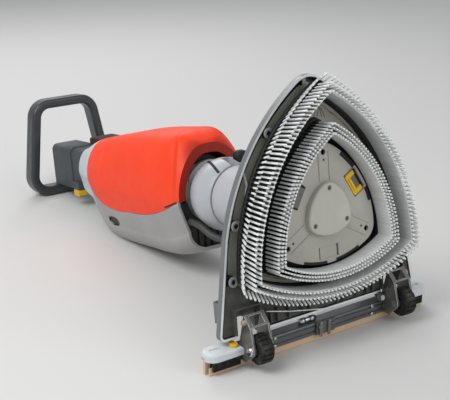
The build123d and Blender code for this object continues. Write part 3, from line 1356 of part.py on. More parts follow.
def leaning_pieces():
    """All pieces that lean with the machine, by name."""
    pieces = {
        "rear_housing": make_rear_housing(),
        "tank_hood": make_tank_hood(),
        "front_cap": make_front_cap(),
        "rear_collar": make_rear_collar(),
        "tank_lid": make_tank_lid(),
        "handle_stem": make_handle_stem(),
        "handle_loop": make_handle_loop(),
        "control_pod": make_control_pod(),
        "display_lens": make_display_lens(),
        "stem_clip": make_stem_clip(),
        "battery_pack": make_battery_pack(),
        "suction_motor": make_suction_motor(),
        "water_pump": make_water_pump(),
        "control_board": make_control_board(),
        "neck_barrel": make_neck_barrel(),
        "neck_bush": make_neck_bush(),
        "flange_screws": make_flange_screws(),
        "neck_cone": make_neck_cone(),
        "neck_ring": make_neck_ring(),
        "pivot_bushes": make_pivot_bushes(),
        "water_hose": make_water_hose(),
        "hose_gland": make_hose_gland(),
        "hose_fitting": make_hose_fitting(),
        "deck_housing": make_deck_housing(),
        "rear_panel": make_rear_panel(),
        "splash_skirt": make_splash_skirt(),
        "deck_bumpers": make_deck_bumpers(),
        "tilt_pin": make_tilt_pin(),
        "drive_motor": make_drive_motor(),
        "motor_cover": make_motor_cover(),
        "deck_bearing": drive_place(make_deck_bearing()),
        "eccentric_shaft": drive_place(make_eccentric_shaft()),
        "inner_carrier": inner_place(make_inner_carrier()),
        "inner_bearing": inner_place(make_inner_bearing()),
        "inner_brush": inner_place(make_inner_brush()),
        "center_cover": inner_place(make_center_cover()),
        "cover_screws": inner_place(make_cover_screws()),
        "brush_latch": inner_place(make_brush_latch()),
        "outer_carrier": outer_place(make_outer_carrier()),
        "outer_bearing": outer_place(make_outer_bearing()),
        "outer_brush": outer_place(make_outer_brush()),
    }
    for name, x in zip(("power_button", "water_button", "suction_button"), BUTTON_XS):
        pieces[name] = make_button(x)
    return pieces


def carriage_pieces():
    """All pieces of the rear carriage, by name."""
    pieces = {
        "squeegee_bar": make_squeegee_bar(),
        "front_blade": make_front_blade(),
        "rear_blade": make_rear_blade(),
        "axle_bolts": make_axle_bolts(),
        "carriage_pins": make_carriage_pins(),
        "bar_clamp": make_bar_clamp(),
        "cap_lever": make_cap_lever(),
    }
    for name, side in (("left", -1), ("right", 1)):
        pieces["end_cap_" + name] = make_end_cap(side)
        pieces["bracket_" + name] = make_bracket(side)
        pieces["tyre_" + name] = make_tyre(side)
        pieces["hub_" + name] = make_hub(side)
    return pieces


def machine_shift(pieces):
    """Move from the brush centre to the middle of the box on the floor."""
    boxes = [piece.bounding_box() for piece in pieces.values()]
    front, back = min(box.min.Y for box in boxes), max(box.max.Y for box in boxes)
    return Pos(0, -(front + back) / 2, BRUSH_HEIGHT)


def assemble():
    """All pieces where they lie, by name."""
    pieces = {name: Rot(-LEAN, 0, 0) * piece for name, piece in leaning_pieces().items()}
    pieces.update(carriage_pieces())
    shift = machine_shift(pieces)
    return {name: shift * piece for name, piece in pieces.items()}


def main():
    os.makedirs("parts", exist_ok=True)
    for name, piece in assemble().items():
        export_step(piece, f"parts/{name}.step")


if __name__ == "__main__":
    main()
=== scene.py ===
"""Looks of a floor scrubber lying on its back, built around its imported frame."""
import json
import math
import random
from collections import namedtuple

import bmesh
import bpy
from mathutils import Matrix, Vector


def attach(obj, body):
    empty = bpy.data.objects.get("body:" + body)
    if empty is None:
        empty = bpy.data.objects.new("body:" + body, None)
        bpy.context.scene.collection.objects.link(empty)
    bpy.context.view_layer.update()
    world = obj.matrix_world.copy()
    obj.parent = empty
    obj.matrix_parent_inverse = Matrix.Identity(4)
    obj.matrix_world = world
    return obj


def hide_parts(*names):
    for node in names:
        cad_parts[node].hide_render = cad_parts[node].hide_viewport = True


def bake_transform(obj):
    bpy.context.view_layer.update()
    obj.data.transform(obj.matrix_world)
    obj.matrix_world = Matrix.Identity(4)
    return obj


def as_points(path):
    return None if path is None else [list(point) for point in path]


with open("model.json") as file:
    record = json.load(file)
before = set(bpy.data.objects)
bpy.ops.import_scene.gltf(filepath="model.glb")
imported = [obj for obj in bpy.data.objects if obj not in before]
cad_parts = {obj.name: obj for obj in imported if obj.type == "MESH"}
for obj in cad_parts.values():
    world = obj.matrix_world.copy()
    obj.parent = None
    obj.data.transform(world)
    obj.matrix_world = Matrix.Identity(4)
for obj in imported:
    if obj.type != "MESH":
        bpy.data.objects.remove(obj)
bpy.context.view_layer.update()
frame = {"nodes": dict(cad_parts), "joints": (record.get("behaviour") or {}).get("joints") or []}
NODES = frame["nodes"]

# Axes in millimetres from the brush centre. The floor axes are level. The leaning axes follow the machine:
# Y runs from the brush plane to the handle, and Z to the nose of the deck.
LEAN = math.radians(8.08)
BRUSH_HEIGHT = 250.0
WHEEL_Y = -12.0
WHEEL_JOINT = [joint for joint in frame["joints"] if joint["name"] == "wheel_left_spin"][0]
SHIFT_Y = WHEEL_JOINT["pos_m"][1] * 1000 - WHEEL_Y


def floor_point(x, y, z):
    """Row-frame point in metres from the floor axes."""
    return Vector((x, y + SHIFT_Y, z + BRUSH_HEIGHT)) / 1000


def lean_point(x, y, z):
    """Row-frame point in metres from the leaning axes."""
    return floor_point(x, y * math.cos(LEAN) + z * math.sin(LEAN), -y * math.sin(LEAN) + z * math.cos(LEAN))


MIDDLE = lean_point(0, 0, 0)
ACROSS = Vector((1, 0, 0))
ALONG = (lean_point(0, 1000, 0) - MIDDLE).normalized()
RISE = (lean_point(0, 0, 1000) - MIDDLE).normalized()
LEAN_TURN = Matrix.Rotation(-LEAN, 3, "X")

# Materials


def linear(rgb):
    """Linear colour from 0-255 display values."""
    values = [c / 255 for c in rgb]
    return tuple(c / 12.92 if c <= 0.04045 else ((c + 0.055) / 1.055) ** 2.4 for c in values) + (1.0,)


def scaled(color, factor):
    """Brighter or darker colour."""
    return tuple(min(1.0, c * factor) for c in color[:3]) + (1.0,)


# Most of a noise lies between these values
NOISE_LOW, NOISE_HIGH = 0.3, 0.7
# Width of a sharp change of colour
FADE = 0.0004
# Cosines to the brush's side from which, and at which fully, a face looks forward
FRONT_FROM, FRONT_FULL = 0.6, 0.8
# Place in metres times normal from which, and at which fully, a wall faces the middle of the deck
INSIDE_FROM, INSIDE_FULL = -0.006, -0.012
# Cosines between the softened and the flat normal at which an edge is fully brightened, and no longer
# brightened: by wear, and on the bracket metal mostly by a painted highlight
EDGE_FULL, EDGE_END = 0.80, 0.98


class Nodes:
    """Small helper round one material's node tree."""

    def __init__(self, name):
        self.material = bpy.data.materials.new(name)
        self.material.use_nodes = True
        self.tree = self.material.node_tree
        self.shader = self.tree.nodes["Principled BSDF"]

    def add(self, kind, **values):
        """New node with its inputs or properties set."""
        node = self.tree.nodes.new("ShaderNode" + kind)
        for key, value in values.items():
            if key in node.inputs:
                node.inputs[key].default_value = value
            else:
                setattr(node, key, value)
        return node

    def link(self, source, target):
        self.tree.links.new(source, target)

    def set(self, **values):
        """Set inputs of the shader by name, with underscores for spaces."""
        for key, value in values.items():
            self.shader.inputs[key.replace("_", " ")].default_value = value

    def coords(self, kind="Object"):
        """Place or normal in the row frame."""
        return self.add("TexCoord").outputs[kind]

    def noise(self, scale, detail=4.0, roughness=0.55, stretch=None):
        """Noise by place, drawn out along the axes whose stretch is small."""
        place = self.coords()
        if stretch:
            mapping = self.add("Mapping", Scale=stretch)
            self.link(place, mapping.inputs["Vector"])
            place = mapping.outputs["Vector"]
        node = self.add("TexNoise", Scale=scale, Detail=detail, Roughness=roughness)
        self.link(place, node.inputs["Vector"])
        return node.outputs["Fac"]

    def ranged(self, value, low, high, start=NOISE_LOW, end=NOISE_HIGH):
        """Low to high as the value goes from start to end."""
        node = self.add("MapRange", **{"From Min": start, "From Max": end, "To Min": low, "To Max": high})
        self.link(value, node.inputs["Value"])
        return node.outputs["Result"]

    def past(self, value, limit):
        """0 up to a limit and 1 past it."""
        return self.ranged(value, 0.0, 1.0, limit, limit + FADE)

    def dot(self, vector, constant):
        """Dot product with a constant vector."""
        node = self.add("VectorMath", operation="DOT_PRODUCT")
        self.link(vector, node.inputs[0])
        node.inputs[1].default_value = constant
        return node.outputs["Value"]

    def math(self, operation, first, second):
        """Sum, product or other simple operation of sockets or numbers."""
        node = self.add("Math", operation=operation)
        for socket, value in zip(node.inputs, (first, second)):
            if isinstance(value, float):
                socket.default_value = value
            else:
                self.link(value, socket)
        return node.outputs["Value"]

    def squares(self, first, second):
        """Sum of two squares."""
        return self.math("ADD", self.math("MULTIPLY", first, first), self.math("MULTIPLY", second, second))

    def place(self, axis):
        """Distance in metres from the brush centre along an axis."""
        return self.math("SUBTRACT", self.dot(self.coords(), tuple(axis)), MIDDLE.dot(axis))

    def depth(self):
        """Depth in metres behind the brush plane."""
        return self.place(ALONG)

    def rise(self):
        """Height in metres over the brush centre, in the leaning axes."""
        return self.place(RISE)

    def sideways(self):
        """Distance in metres from the middle plane."""
        return self.math("ABSOLUTE", self.place(ACROSS), 0.0)

    def facing_front(self):
        """1 on faces that look out of the deck towards the bristle tips."""
        return self.ranged(self.dot(self.coords("Normal"), tuple(-ALONG)), 0.0, 1.0, FRONT_FROM, FRONT_FULL)

    def inside(self):
        """1 on walls that face the middle of the deck and on its floor, 0 on its outer walls and back."""
        parts = [self.math("MULTIPLY", self.place(axis), self.dot(self.coords("Normal"), tuple(axis)))
                 for axis in (ACROSS, RISE)]
        inward = self.ranged(self.math("ADD", *parts), 1.0, 0.0, INSIDE_FULL, INSIDE_FROM)
        return self.math("MAXIMUM", inward, self.facing_front())

    def edge_amount(self, soft_normal, amount):
        """The amount on edges, where the softened normal leaves the flat one, and 0 elsewhere."""
        node = self.add("VectorMath", operation="DOT_PRODUCT")
        self.link(soft_normal, node.inputs[0])
        self.link(self.add("NewGeometry").outputs["Normal"], node.inputs[1])
        return self.ranged(node.outputs["Value"], amount, 0.0, EDGE_FULL, EDGE_END)

    def mixed(self, factor, first, second):
        """Mix of two colours, each a socket or a fixed colour."""
        node = self.add("Mix", data_type="RGBA")
        sockets = [s for s in node.inputs if s.type == "RGBA"]
        for socket, value in zip(sockets, (first, second)):
            if isinstance(value, tuple):
                socket.default_value = value
            else:
                self.link(value, socket)
        self.link(factor, node.inputs["Factor"])
        return [s for s in node.outputs if s.type == "RGBA"][0]


# Shades by place on the object


def behind(depth, rgb):
    """Painted shade: a darker colour behind a depth in millimetres."""
    def shade(nodes, base):
        return nodes.mixed(nodes.past(nodes.depth(), depth / 1000), base, linear(rgb))
    return shade


# Lip tone, its share left on the deck's outer walls as painted shade, and the black of the painted shade in
# the pan
LIP_TONE, WALL_SHADE, PAN_SHADE = (228, 231, 234), 0.2, (16, 16, 15)
# Middle of the arc of each side of the deck, and how far from it the pan's floor turns black with painted
# shade
SIDE_MIDDLE, SIDE_SHADE_REACH = (-185.5, -114.2), 366.0


def deck_pan_shade(depth, floor_rgb):
    """Pale lip with painted shade on the outer walls; behind a depth in millimetres, black painted shade on
    the inner walls and towards the sides of the pan's floor.
    """
    def shade(nodes, base):
        front = nodes.facing_front()
        lip = nodes.mixed(front, scaled(linear(LIP_TONE), WALL_SHADE), base)
        sideways = nodes.math("SUBTRACT", nodes.sideways(), SIDE_MIDDLE[0] / 1000)
        upward = nodes.math("SUBTRACT", nodes.rise(), SIDE_MIDDLE[1] / 1000)
        at_side = nodes.past(nodes.squares(sideways, upward), (SIDE_SHADE_REACH / 1000) ** 2)
        floor = nodes.mixed(at_side, linear(floor_rgb), linear(PAN_SHADE))
        pan = nodes.mixed(front, linear(PAN_SHADE), floor)
        in_pan = nodes.math("MULTIPLY", nodes.past(nodes.depth(), depth / 1000), nodes.inside())
        return nodes.mixed(in_pan, lip, pan)
    return shade


def front_shade(rgb):
    """Painted shade: a darker colour on faces that look forward."""
    def shade(nodes, base):
        return nodes.mixed(nodes.facing_front(), base, linear(rgb))
    return shade


# Where the painted shade of an oval recess is full and where it ends, as squares of its half size
RECESS_SHADE_FULL, RECESS_SHADE_END = 0.9, 1.15


def side_recess_shade(depth, rise, length, height, rgb):
    """Painted shade: a darker colour in an oval recess in both sides, at a depth and a rise in millimetres.
    """
    def shade(nodes, base):
        along = nodes.math("DIVIDE", nodes.math("SUBTRACT", nodes.depth(), depth / 1000), length / 2000)
        above = nodes.math("DIVIDE", nodes.math("SUBTRACT", nodes.rise(), rise / 1000), height / 2000)
        recess = nodes.ranged(nodes.squares(along, above), 1.0, 0.0, RECESS_SHADE_FULL, RECESS_SHADE_END)
        return nodes.mixed(recess, base, linear(rgb))
    return shade


# The hood's visor ends at this depth over the middle and comes forward to the sides
VISOR_DEPTH, VISOR_FADE, VISOR_STEP = 438.0, 5.0, 4.0
VISOR_SWEEP = 0.87


def visor(nodes, normal):
    """Soft step behind the raised band round the hood's opening."""
    swept = nodes.math("ADD", nodes.depth(), nodes.math("MULTIPLY", nodes.sideways(), VISOR_SWEEP))
    start, end = (VISOR_DEPTH - VISOR_FADE) / 1000, (VISOR_DEPTH + VISOR_FADE) / 1000
    bump = nodes.add("Bump", Strength=1.0, Distance=VISOR_STEP / 1000)
    nodes.link(nodes.ranged(swept, 1.0, 0.0, start, end), bump.inputs["Height"])
    nodes.link(normal, bump.inputs["Normal"])
    return bump.outputs["Normal"]


# Patches of tone and of sheen, and how far the roughness goes below and above its value
TONE_SCALE, SHEEN_SCALE = 14.0, 42.0
SHEEN_BELOW, SHEEN_ABOVE, LEAST_ROUGH = 0.07, 0.09, 0.05
EDGE_SAMPLES = 4
# How much brighter worn edges are
PLASTIC_RUB, METAL_RUB = 1.5, 1.25
DUST_TONE, DUST_SCALE, DUST_DETAIL = (150, 146, 138), 60.0, 8.0
DUST_FROM, DUST_FULL = 0.5, 0.75
GRAIN_DEPTH, GRAIN_DETAIL = 0.0002, 2.0


def surface(name, rgb, rough=0.5, metal=0.0, mottle=0.07, grain=0.25, grain_scale=1400.0, edge=0.6,
            wear_and_highlight=0.25, rub_and_highlight=None, dust=0.0, stretch=None, coat=0.0, specular=0.5, shade=None, relief=None):
    """Moulded or metal surface: patchy tone, fine grain, softened edges brightened by wear (on the bracket
    metal mostly a painted highlight) and a little dust. Edge is in millimetres, and the rub value is how
    much brighter the edges are where it isn't the usual value.
    Shade paints shade by place, and relief changes the normal."""
    nodes = Nodes(name)
    color = linear(rgb)
    tone = nodes.ranged(nodes.noise(TONE_SCALE), 0.0, 1.0)
    base = nodes.mixed(tone, scaled(color, 1 - mottle), scaled(color, 1 + mottle))
    normal = nodes.add("Bevel", samples=EDGE_SAMPLES, Radius=edge / 1000).outputs["Normal"]
    if wear_and_highlight:
        bright = rub_and_highlight or (PLASTIC_RUB if metal < 0.5 else METAL_RUB)
        base = nodes.mixed(nodes.edge_amount(normal, wear_and_highlight), base, scaled(color, bright))
    if dust:
        specks = nodes.ranged(nodes.noise(DUST_SCALE, DUST_DETAIL), 0.0, dust, DUST_FROM, DUST_FULL)
        base = nodes.mixed(specks, base, linear(DUST_TONE))
    if shade:
        base = shade(nodes, base)
    nodes.link(base, nodes.shader.inputs["Base Color"])
    sheen = nodes.noise(SHEEN_SCALE, stretch=stretch)
    spread = nodes.ranged(sheen, max(LEAST_ROUGH, rough - SHEEN_BELOW), min(1.0, rough + SHEEN_ABOVE))
    nodes.link(spread, nodes.shader.inputs["Roughness"])
    bump = nodes.add("Bump", Strength=grain, Distance=GRAIN_DEPTH)
    nodes.link(nodes.noise(grain_scale, GRAIN_DETAIL, stretch=stretch), bump.inputs["Height"])
    nodes.link(relief(nodes, normal) if relief else normal, bump.inputs["Normal"])
    nodes.link(bump.outputs["Normal"], nodes.shader.inputs["Normal"])
    nodes.set(Metallic=metal, Coat_Weight=coat, Specular_IOR_Level=specular)
    return nodes.material


# Tone layer of the tufts: a random tone per tuft, with painted shade on the roots and on the curtains
TUFT_LAYER = "tuft_tone"
NYLON_SCALE, NYLON_ROUGH = 300.0, (0.38, 0.55)


def bristle_surface(name, dark, pale):
    """Nylon tufts: each tuft has its own tone, darkened towards the root by painted shade."""
    nodes = Nodes(name)
    tone = nodes.add("Attribute", attribute_name=TUFT_LAYER).outputs["Fac"]
    nodes.link(nodes.mixed(tone, linear(dark), linear(pale)), nodes.shader.inputs["Base Color"])
    nodes.link(nodes.ranged(nodes.noise(NYLON_SCALE), *NYLON_ROUGH), nodes.shader.inputs["Roughness"])
    return nodes.material


# Hood red; the forward faces round its opening are painted a darker red as shade
HOOD_RED = surface("hood_red", (252, 68, 30), mottle=0.04, grain=0.12, edge=1.2, wear_and_highlight=0.1, specular=0.3,
                   shade=front_shade(rgb=(146, 30, 15)), relief=visor)
# Painted shade in the oval recess in both sides of the rear housing
HOUSING_RECESS_SHADE = side_recess_shade(depth=640.0, rise=-116.0, length=48.0, height=20.0, rgb=(52, 48, 46))
SHELL_GREY = surface("shell_grey", (161, 160, 160), grain=0.3, edge=1.0, wear_and_highlight=0.12, dust=0.15,
                     shade=HOUSING_RECESS_SHADE)
COLLAR_GREY = surface("collar_grey", (196, 206, 212), edge=1.0, wear_and_highlight=0.12)
TRIM_BLACK = surface("trim_black", (36, 36, 38), grain=0.5, edge=1.0, dust=0.06)
GRIP_BLACK = surface("grip_black", (47, 50, 54), rough=0.4, grain=0.3, grain_scale=900.0, edge=1.5, wear_and_highlight=0.2,
                     coat=0.3)
LID_MAROON = surface("lid_maroon", (60, 24, 25), rough=0.6, grain=0.2, edge=2.0, wear_and_highlight=0.1, specular=0.2)
POD_GREY = surface("pod_grey", (70, 75, 79), grain=0.4, edge=1.5, wear_and_highlight=0.2)
LENS_DARK = surface("lens_dark", (12, 12, 15), rough=0.12, mottle=0.02, grain=0.0, wear_and_highlight=0.0, coat=0.6)
NECK_SILVER = surface("neck_silver", (179, 182, 187), rough=0.4, mottle=0.04, grain=0.15, edge=1.0,
                      wear_and_highlight=0.15, coat=0.1)
# Lip grey, with painted shade on the deck's outer and inner walls and at the sides of the pan's floor
LIP_GREY = surface("lip_grey", LIP_TONE, rough=0.36, grain=0.2, edge=0.8, wear_and_highlight=0.0,
                   shade=deck_pan_shade(depth=49.5, floor_rgb=(168, 172, 156)))
PAN_DARK = surface("pan_dark", (66, 67, 62), rough=0.6, grain=0.4, edge=1.4, wear_and_highlight=0.7, rub_and_highlight=2.4, dust=0.12)
CARRIER_BEIGE = surface("carrier_beige", (196, 193, 182), rough=0.55, grain=0.4, wear_and_highlight=0.2, dust=0.2)
# Bumper grey; the bumpers' parts deep in the pan are painted dark as shade
BUMPER_GREY = surface("bumper_grey", (138, 140, 140), rough=0.42, grain=0.3, edge=0.8, wear_and_highlight=0.35,
                      shade=behind(depth=48.5, rgb=(34, 30, 28)))
# Plate beige; behind its front it is painted black as the shadow in the gap to the inner ring
PLATE_BEIGE = surface("plate_beige", (174, 172, 163), rough=0.48, grain=0.3, wear_and_highlight=0.1, dust=0.12,
                      shade=behind(depth=26.0, rgb=(16, 16, 16)))
COVER_BEIGE = surface("cover_beige", (187, 185, 176), rough=0.42, grain=0.2, edge=1.5, wear_and_highlight=0.12, dust=0.1)
LATCH_YELLOW = surface("latch_yellow", (226, 178, 14), rough=0.42, mottle=0.05, grain=0.2, wear_and_highlight=0.2)
KEY_GREEN = surface("key_green", (70, 140, 78), rough=0.45, grain=0.2, wear_and_highlight=0.2)
KEY_GREY = surface("key_grey", (150, 152, 155), rough=0.45, grain=0.2, wear_and_highlight=0.2)
SCREW_DARK = surface("screw_dark", (112, 108, 100), rough=0.4, metal=0.7, wear_and_highlight=0.1)
STEEL = surface("steel", (200, 200, 202), rough=0.28, metal=1.0, mottle=0.05, grain=0.15, edge=0.4,
                wear_and_highlight=0.15)
BRASS = surface("brass", (176, 142, 92), rough=0.35, metal=1.0, grain=0.2, edge=0.4, wear_and_highlight=0.2)
BRONZE = surface("bronze", (198, 170, 142), rough=0.4, metal=0.5, grain=0.3, wear_and_highlight=0.3)
BAR_METAL = surface("bar_metal", (104, 106, 107), rough=0.35, metal=0.6, edge=0.5, wear_and_highlight=0.3, dust=0.15,
                    stretch=(0.05, 1.0, 1.0))
# Bracket metal: its strongly brightened edges are a painted highlight on lit edges, beside some wear
BRACKET_METAL = surface("bracket_metal", (122, 122, 120), rough=0.33, metal=0.6, grain=0.2, edge=2.2,
                        wear_and_highlight=0.95, rub_and_highlight=4.0)
CAP_SILVER = surface("cap_silver", (208, 214, 218), rough=0.35, mottle=0.04, grain=0.15, edge=1.0,
                     wear_and_highlight=0.15, coat=0.15)
RUBBER_BLACK = surface("rubber_black", (30, 30, 30), rough=0.7, grain=0.6, grain_scale=700.0, wear_and_highlight=0.35,
                       dust=0.2, specular=0.3)
RUBBER_TAN = surface("rubber_tan", (214, 184, 152), rough=0.62, grain=0.4, edge=0.4, wear_and_highlight=0.15, dust=0.1,
                     specular=0.3)
HOSE_OLIVE = surface("hose_olive", (66, 66, 60), grain=0.3, wear_and_highlight=0.0, dust=0.1)
CELL_BLUE = surface("cell_blue", (40, 62, 120))
BOARD_GREEN = surface("board_green", (30, 92, 52), rough=0.45)
# Black of the backing rings; the strips and lines of painted shade take the same black
RING_BLACK = surface("ring_black", (20, 20, 20), rough=0.6, grain=0.3, edge=0.8, wear_and_highlight=0.1)
TUFT_PALE = bristle_surface("tuft_pale", (6, 6, 6), (248, 249, 249))
# Grey of the pocket floor; the carrier ribs take it as painted shade, darker than the carrier
POCKET_GREY = surface("pocket_grey", (108, 106, 100), rough=0.6, wear_and_highlight=0.0)
INSERT_GREY = surface("insert_grey", (118, 116, 124), rough=0.35, metal=0.6, wear_and_highlight=0.1)
WIRE_WHITE = surface("wire_white", (250, 251, 250), rough=0.4, wear_and_highlight=0.0)

LOOKS = {
    HOOD_RED: ["tank_hood"],
    SHELL_GREY: ["rear_housing"],
    COLLAR_GREY: ["rear_collar"],
    # Black trim; on the suction motor, seen in the hood's opening, the black is painted shade
    TRIM_BLACK: ["front_cap", "tank_lid", "hose_gland", "motor_cover", "hose_fitting", "hub_left",
                 "hub_right", "suction_motor", "neck_ring"],
    POD_GREY: ["control_pod", "handle_stem"],
    GRIP_BLACK: ["handle_loop"],
    LENS_DARK: ["display_lens"],
    NECK_SILVER: ["neck_barrel", "neck_cone"],
    LIP_GREY: ["deck_housing"],
    PAN_DARK: ["rear_panel"],
    CARRIER_BEIGE: ["outer_carrier"],
    BUMPER_GREY: ["deck_bumpers"],
    PLATE_BEIGE: ["inner_carrier"],
    COVER_BEIGE: ["center_cover"],
    LATCH_YELLOW: ["brush_latch", "stem_clip", "cap_lever", "water_button"],
    KEY_GREEN: ["power_button"],
    KEY_GREY: ["suction_button"],
    SCREW_DARK: ["cover_screws"],
    STEEL: ["flange_screws", "carriage_pins", "tilt_pin", "eccentric_shaft", "inner_bearing",
            "outer_bearing", "deck_bearing", "drive_motor", "axle_bolts"],
    BRASS: ["neck_bush", "pivot_bushes"],
    BAR_METAL: ["squeegee_bar", "bar_clamp"],
    BRACKET_METAL: ["bracket_left", "bracket_right"],
    CAP_SILVER: ["end_cap_left", "end_cap_right"],
    RUBBER_BLACK: ["front_blade", "splash_skirt", "tyre_left", "tyre_right"],
    RUBBER_TAN: ["rear_blade"],
    CELL_BLUE: ["battery_pack", "water_pump"],
    BOARD_GREEN: ["control_board"],
    HOSE_OLIVE: ["water_hose"],
    TUFT_PALE: ["outer_brush", "inner_brush"],
}
for look, names in LOOKS.items():
    for node_name in names:
        mesh = NODES[node_name].data
        mesh.materials.clear()
        mesh.materials.append(look)

# Pieces


def linked(name, data):
    """New object in the scene."""
    made = bpy.data.objects.new(name, data)
    bpy.context.scene.collection.objects.link(made)
    return made


def new_piece(name, bm, look, body, smooth=True):
    """Piece from a bmesh, which rides on a body and takes the given material."""
    mesh = bpy.data.meshes.new(name)
    bm.normal_update()
    bm.to_mesh(mesh)
    bm.free()
    for polygon in mesh.polygons:
        polygon.use_smooth = smooth
    mesh.materials.append(look)
    piece = linked(name, mesh)
    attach(piece, body)
    return piece


# Brushes, with their rings in Reuleaux outlines

CORNERS = (90.0, 210.0, 330.0)
SIDE_STEPS, CORNER_STEPS = 28, 8


def polar(reach, angle):
    """X and Z at a reach and an angle in degrees."""
    return reach * math.cos(math.radians(angle)), reach * math.sin(math.radians(angle))


def reuleaux_loop(width, corner):
    """Points round a Reuleaux outline with rounded corners."""
    points = []
    sharp = width - 2 * corner
    for angle in CORNERS:
        x, z = polar(sharp / math.sqrt(3), angle)
        for step in range(CORNER_STEPS):
            dx, dz = polar(corner, angle - 30 + 60 * step / CORNER_STEPS)
            points.append((x + dx, z + dz))
        far_x, far_z = polar(sharp / math.sqrt(3), angle + 240)
        for step in range(SIDE_STEPS):
            dx, dz = polar(sharp + corner, angle + 30 + 60 * step / SIDE_STEPS)
            points.append((far_x + dx, far_z + dz))
    return points


def row_places(width, count, shift):
    """Places of the tufts along a Reuleaux outline, shifted along it: X, Z and the outward angle."""
    for angle in CORNERS:
        far_x, far_z = polar(width / math.sqrt(3), angle)
        for step in range(count):
            turn = angle + 150 + (step + 0.5 + shift) * 60 / count
            x, z = polar(width, turn)
            yield far_x + x, far_z + z, turn


BACKING_FRONT, BACKING_BACK = 38.0, 44.0
RING_EDGE, RING_CORNER = 1.2, 8.0


def backing_ring(name, outside, hole, centre_z, body):
    """Black ring that carries the tufts, with rounded edges."""
    shoulder = BACKING_FRONT + RING_EDGE
    profile = [(outside, BACKING_BACK), (outside, shoulder), (outside - 2 * RING_EDGE, BACKING_FRONT),
               (hole + 2 * RING_EDGE, BACKING_FRONT), (hole, shoulder), (hole, BACKING_BACK)]
    bm = bmesh.new()
    loops = []
    for width, depth in profile:
        outline = reuleaux_loop(width, RING_CORNER)
        loops.append([bm.verts.new(lean_point(x, depth, z + centre_z)) for x, z in outline])
    count = len(loops[0])
    for first, second in zip(loops, loops[1:] + loops[:1]):
        for index in range(count):
            following = (index + 1) % count
            bm.faces.new((first[index], first[following], second[following], second[index]))
    bmesh.ops.recalc_face_normals(bm, faces=bm.faces)
    return new_piece(name, bm, RING_BLACK, body, smooth=False)


# A row of tufts: widths at the foot and the tip, tufts a side, depth of the tips, shift along the row in
# tufts, and the depth from which the tufts are pale, with painted shade on the roots behind it. A curtain
# is a row of flat strands side by side.
Row = namedtuple("Row", "foot tip count depth shift pale_from")
# Depth of the tufts' roots, and the tone of the painted shade on them
ROOT_DEPTH, ROOT_SHADE = BACKING_FRONT + 1, 0.02
SQUARE = ((-1, -1), (1, -1), (1, 1), (-1, 1))
# Half width of a filament, its places in a tuft across and out, and how they spread, sway and end
FILAMENT = 0.55
BUNDLE = [(across, out) for out in (-0.6, 0.6) for across in (-0.85, 0.0, 0.85)]
TIP_SPREAD, SWAY_OUT, SWAY_SIDE, RAGGED = 1.15, 0.25, 0.2, 0.8
# Range of a tuft's random tone, and its share at the low end of the pale part: painted shade towards the
# root
TUFT_TONES, TUFT_LOW_SHADE = (0.93, 1.0), 0.85
# Half thickness of a curtain strand, and its tone's share at the low end: painted shade
CURTAIN_HALF, CURTAIN_LOW_SHADE = 0.6, 0.7


def stems(row):
    """Foot, tip, outward direction and sideways direction of each tuft in a row."""
    feet, tips = row_places(row.foot, row.count, row.shift), row_places(row.tip, row.count, row.shift)
    for (foot_x, foot_z, turn), (tip_x, tip_z, _) in zip(feet, tips):
        angle = math.radians(turn)
        outward = Vector((math.cos(angle), 0, math.sin(angle)))
        sideways = Vector((-math.sin(angle), 0, math.cos(angle)))
        yield Vector((foot_x, ROOT_DEPTH, foot_z)), Vector((tip_x, row.depth, tip_z)), outward, sideways


def root_shade_share(row):
    """Part of the length of a row's tufts that is painted dark as shade at the root."""
    return (ROOT_DEPTH - row.pale_from) / (ROOT_DEPTH - row.depth)


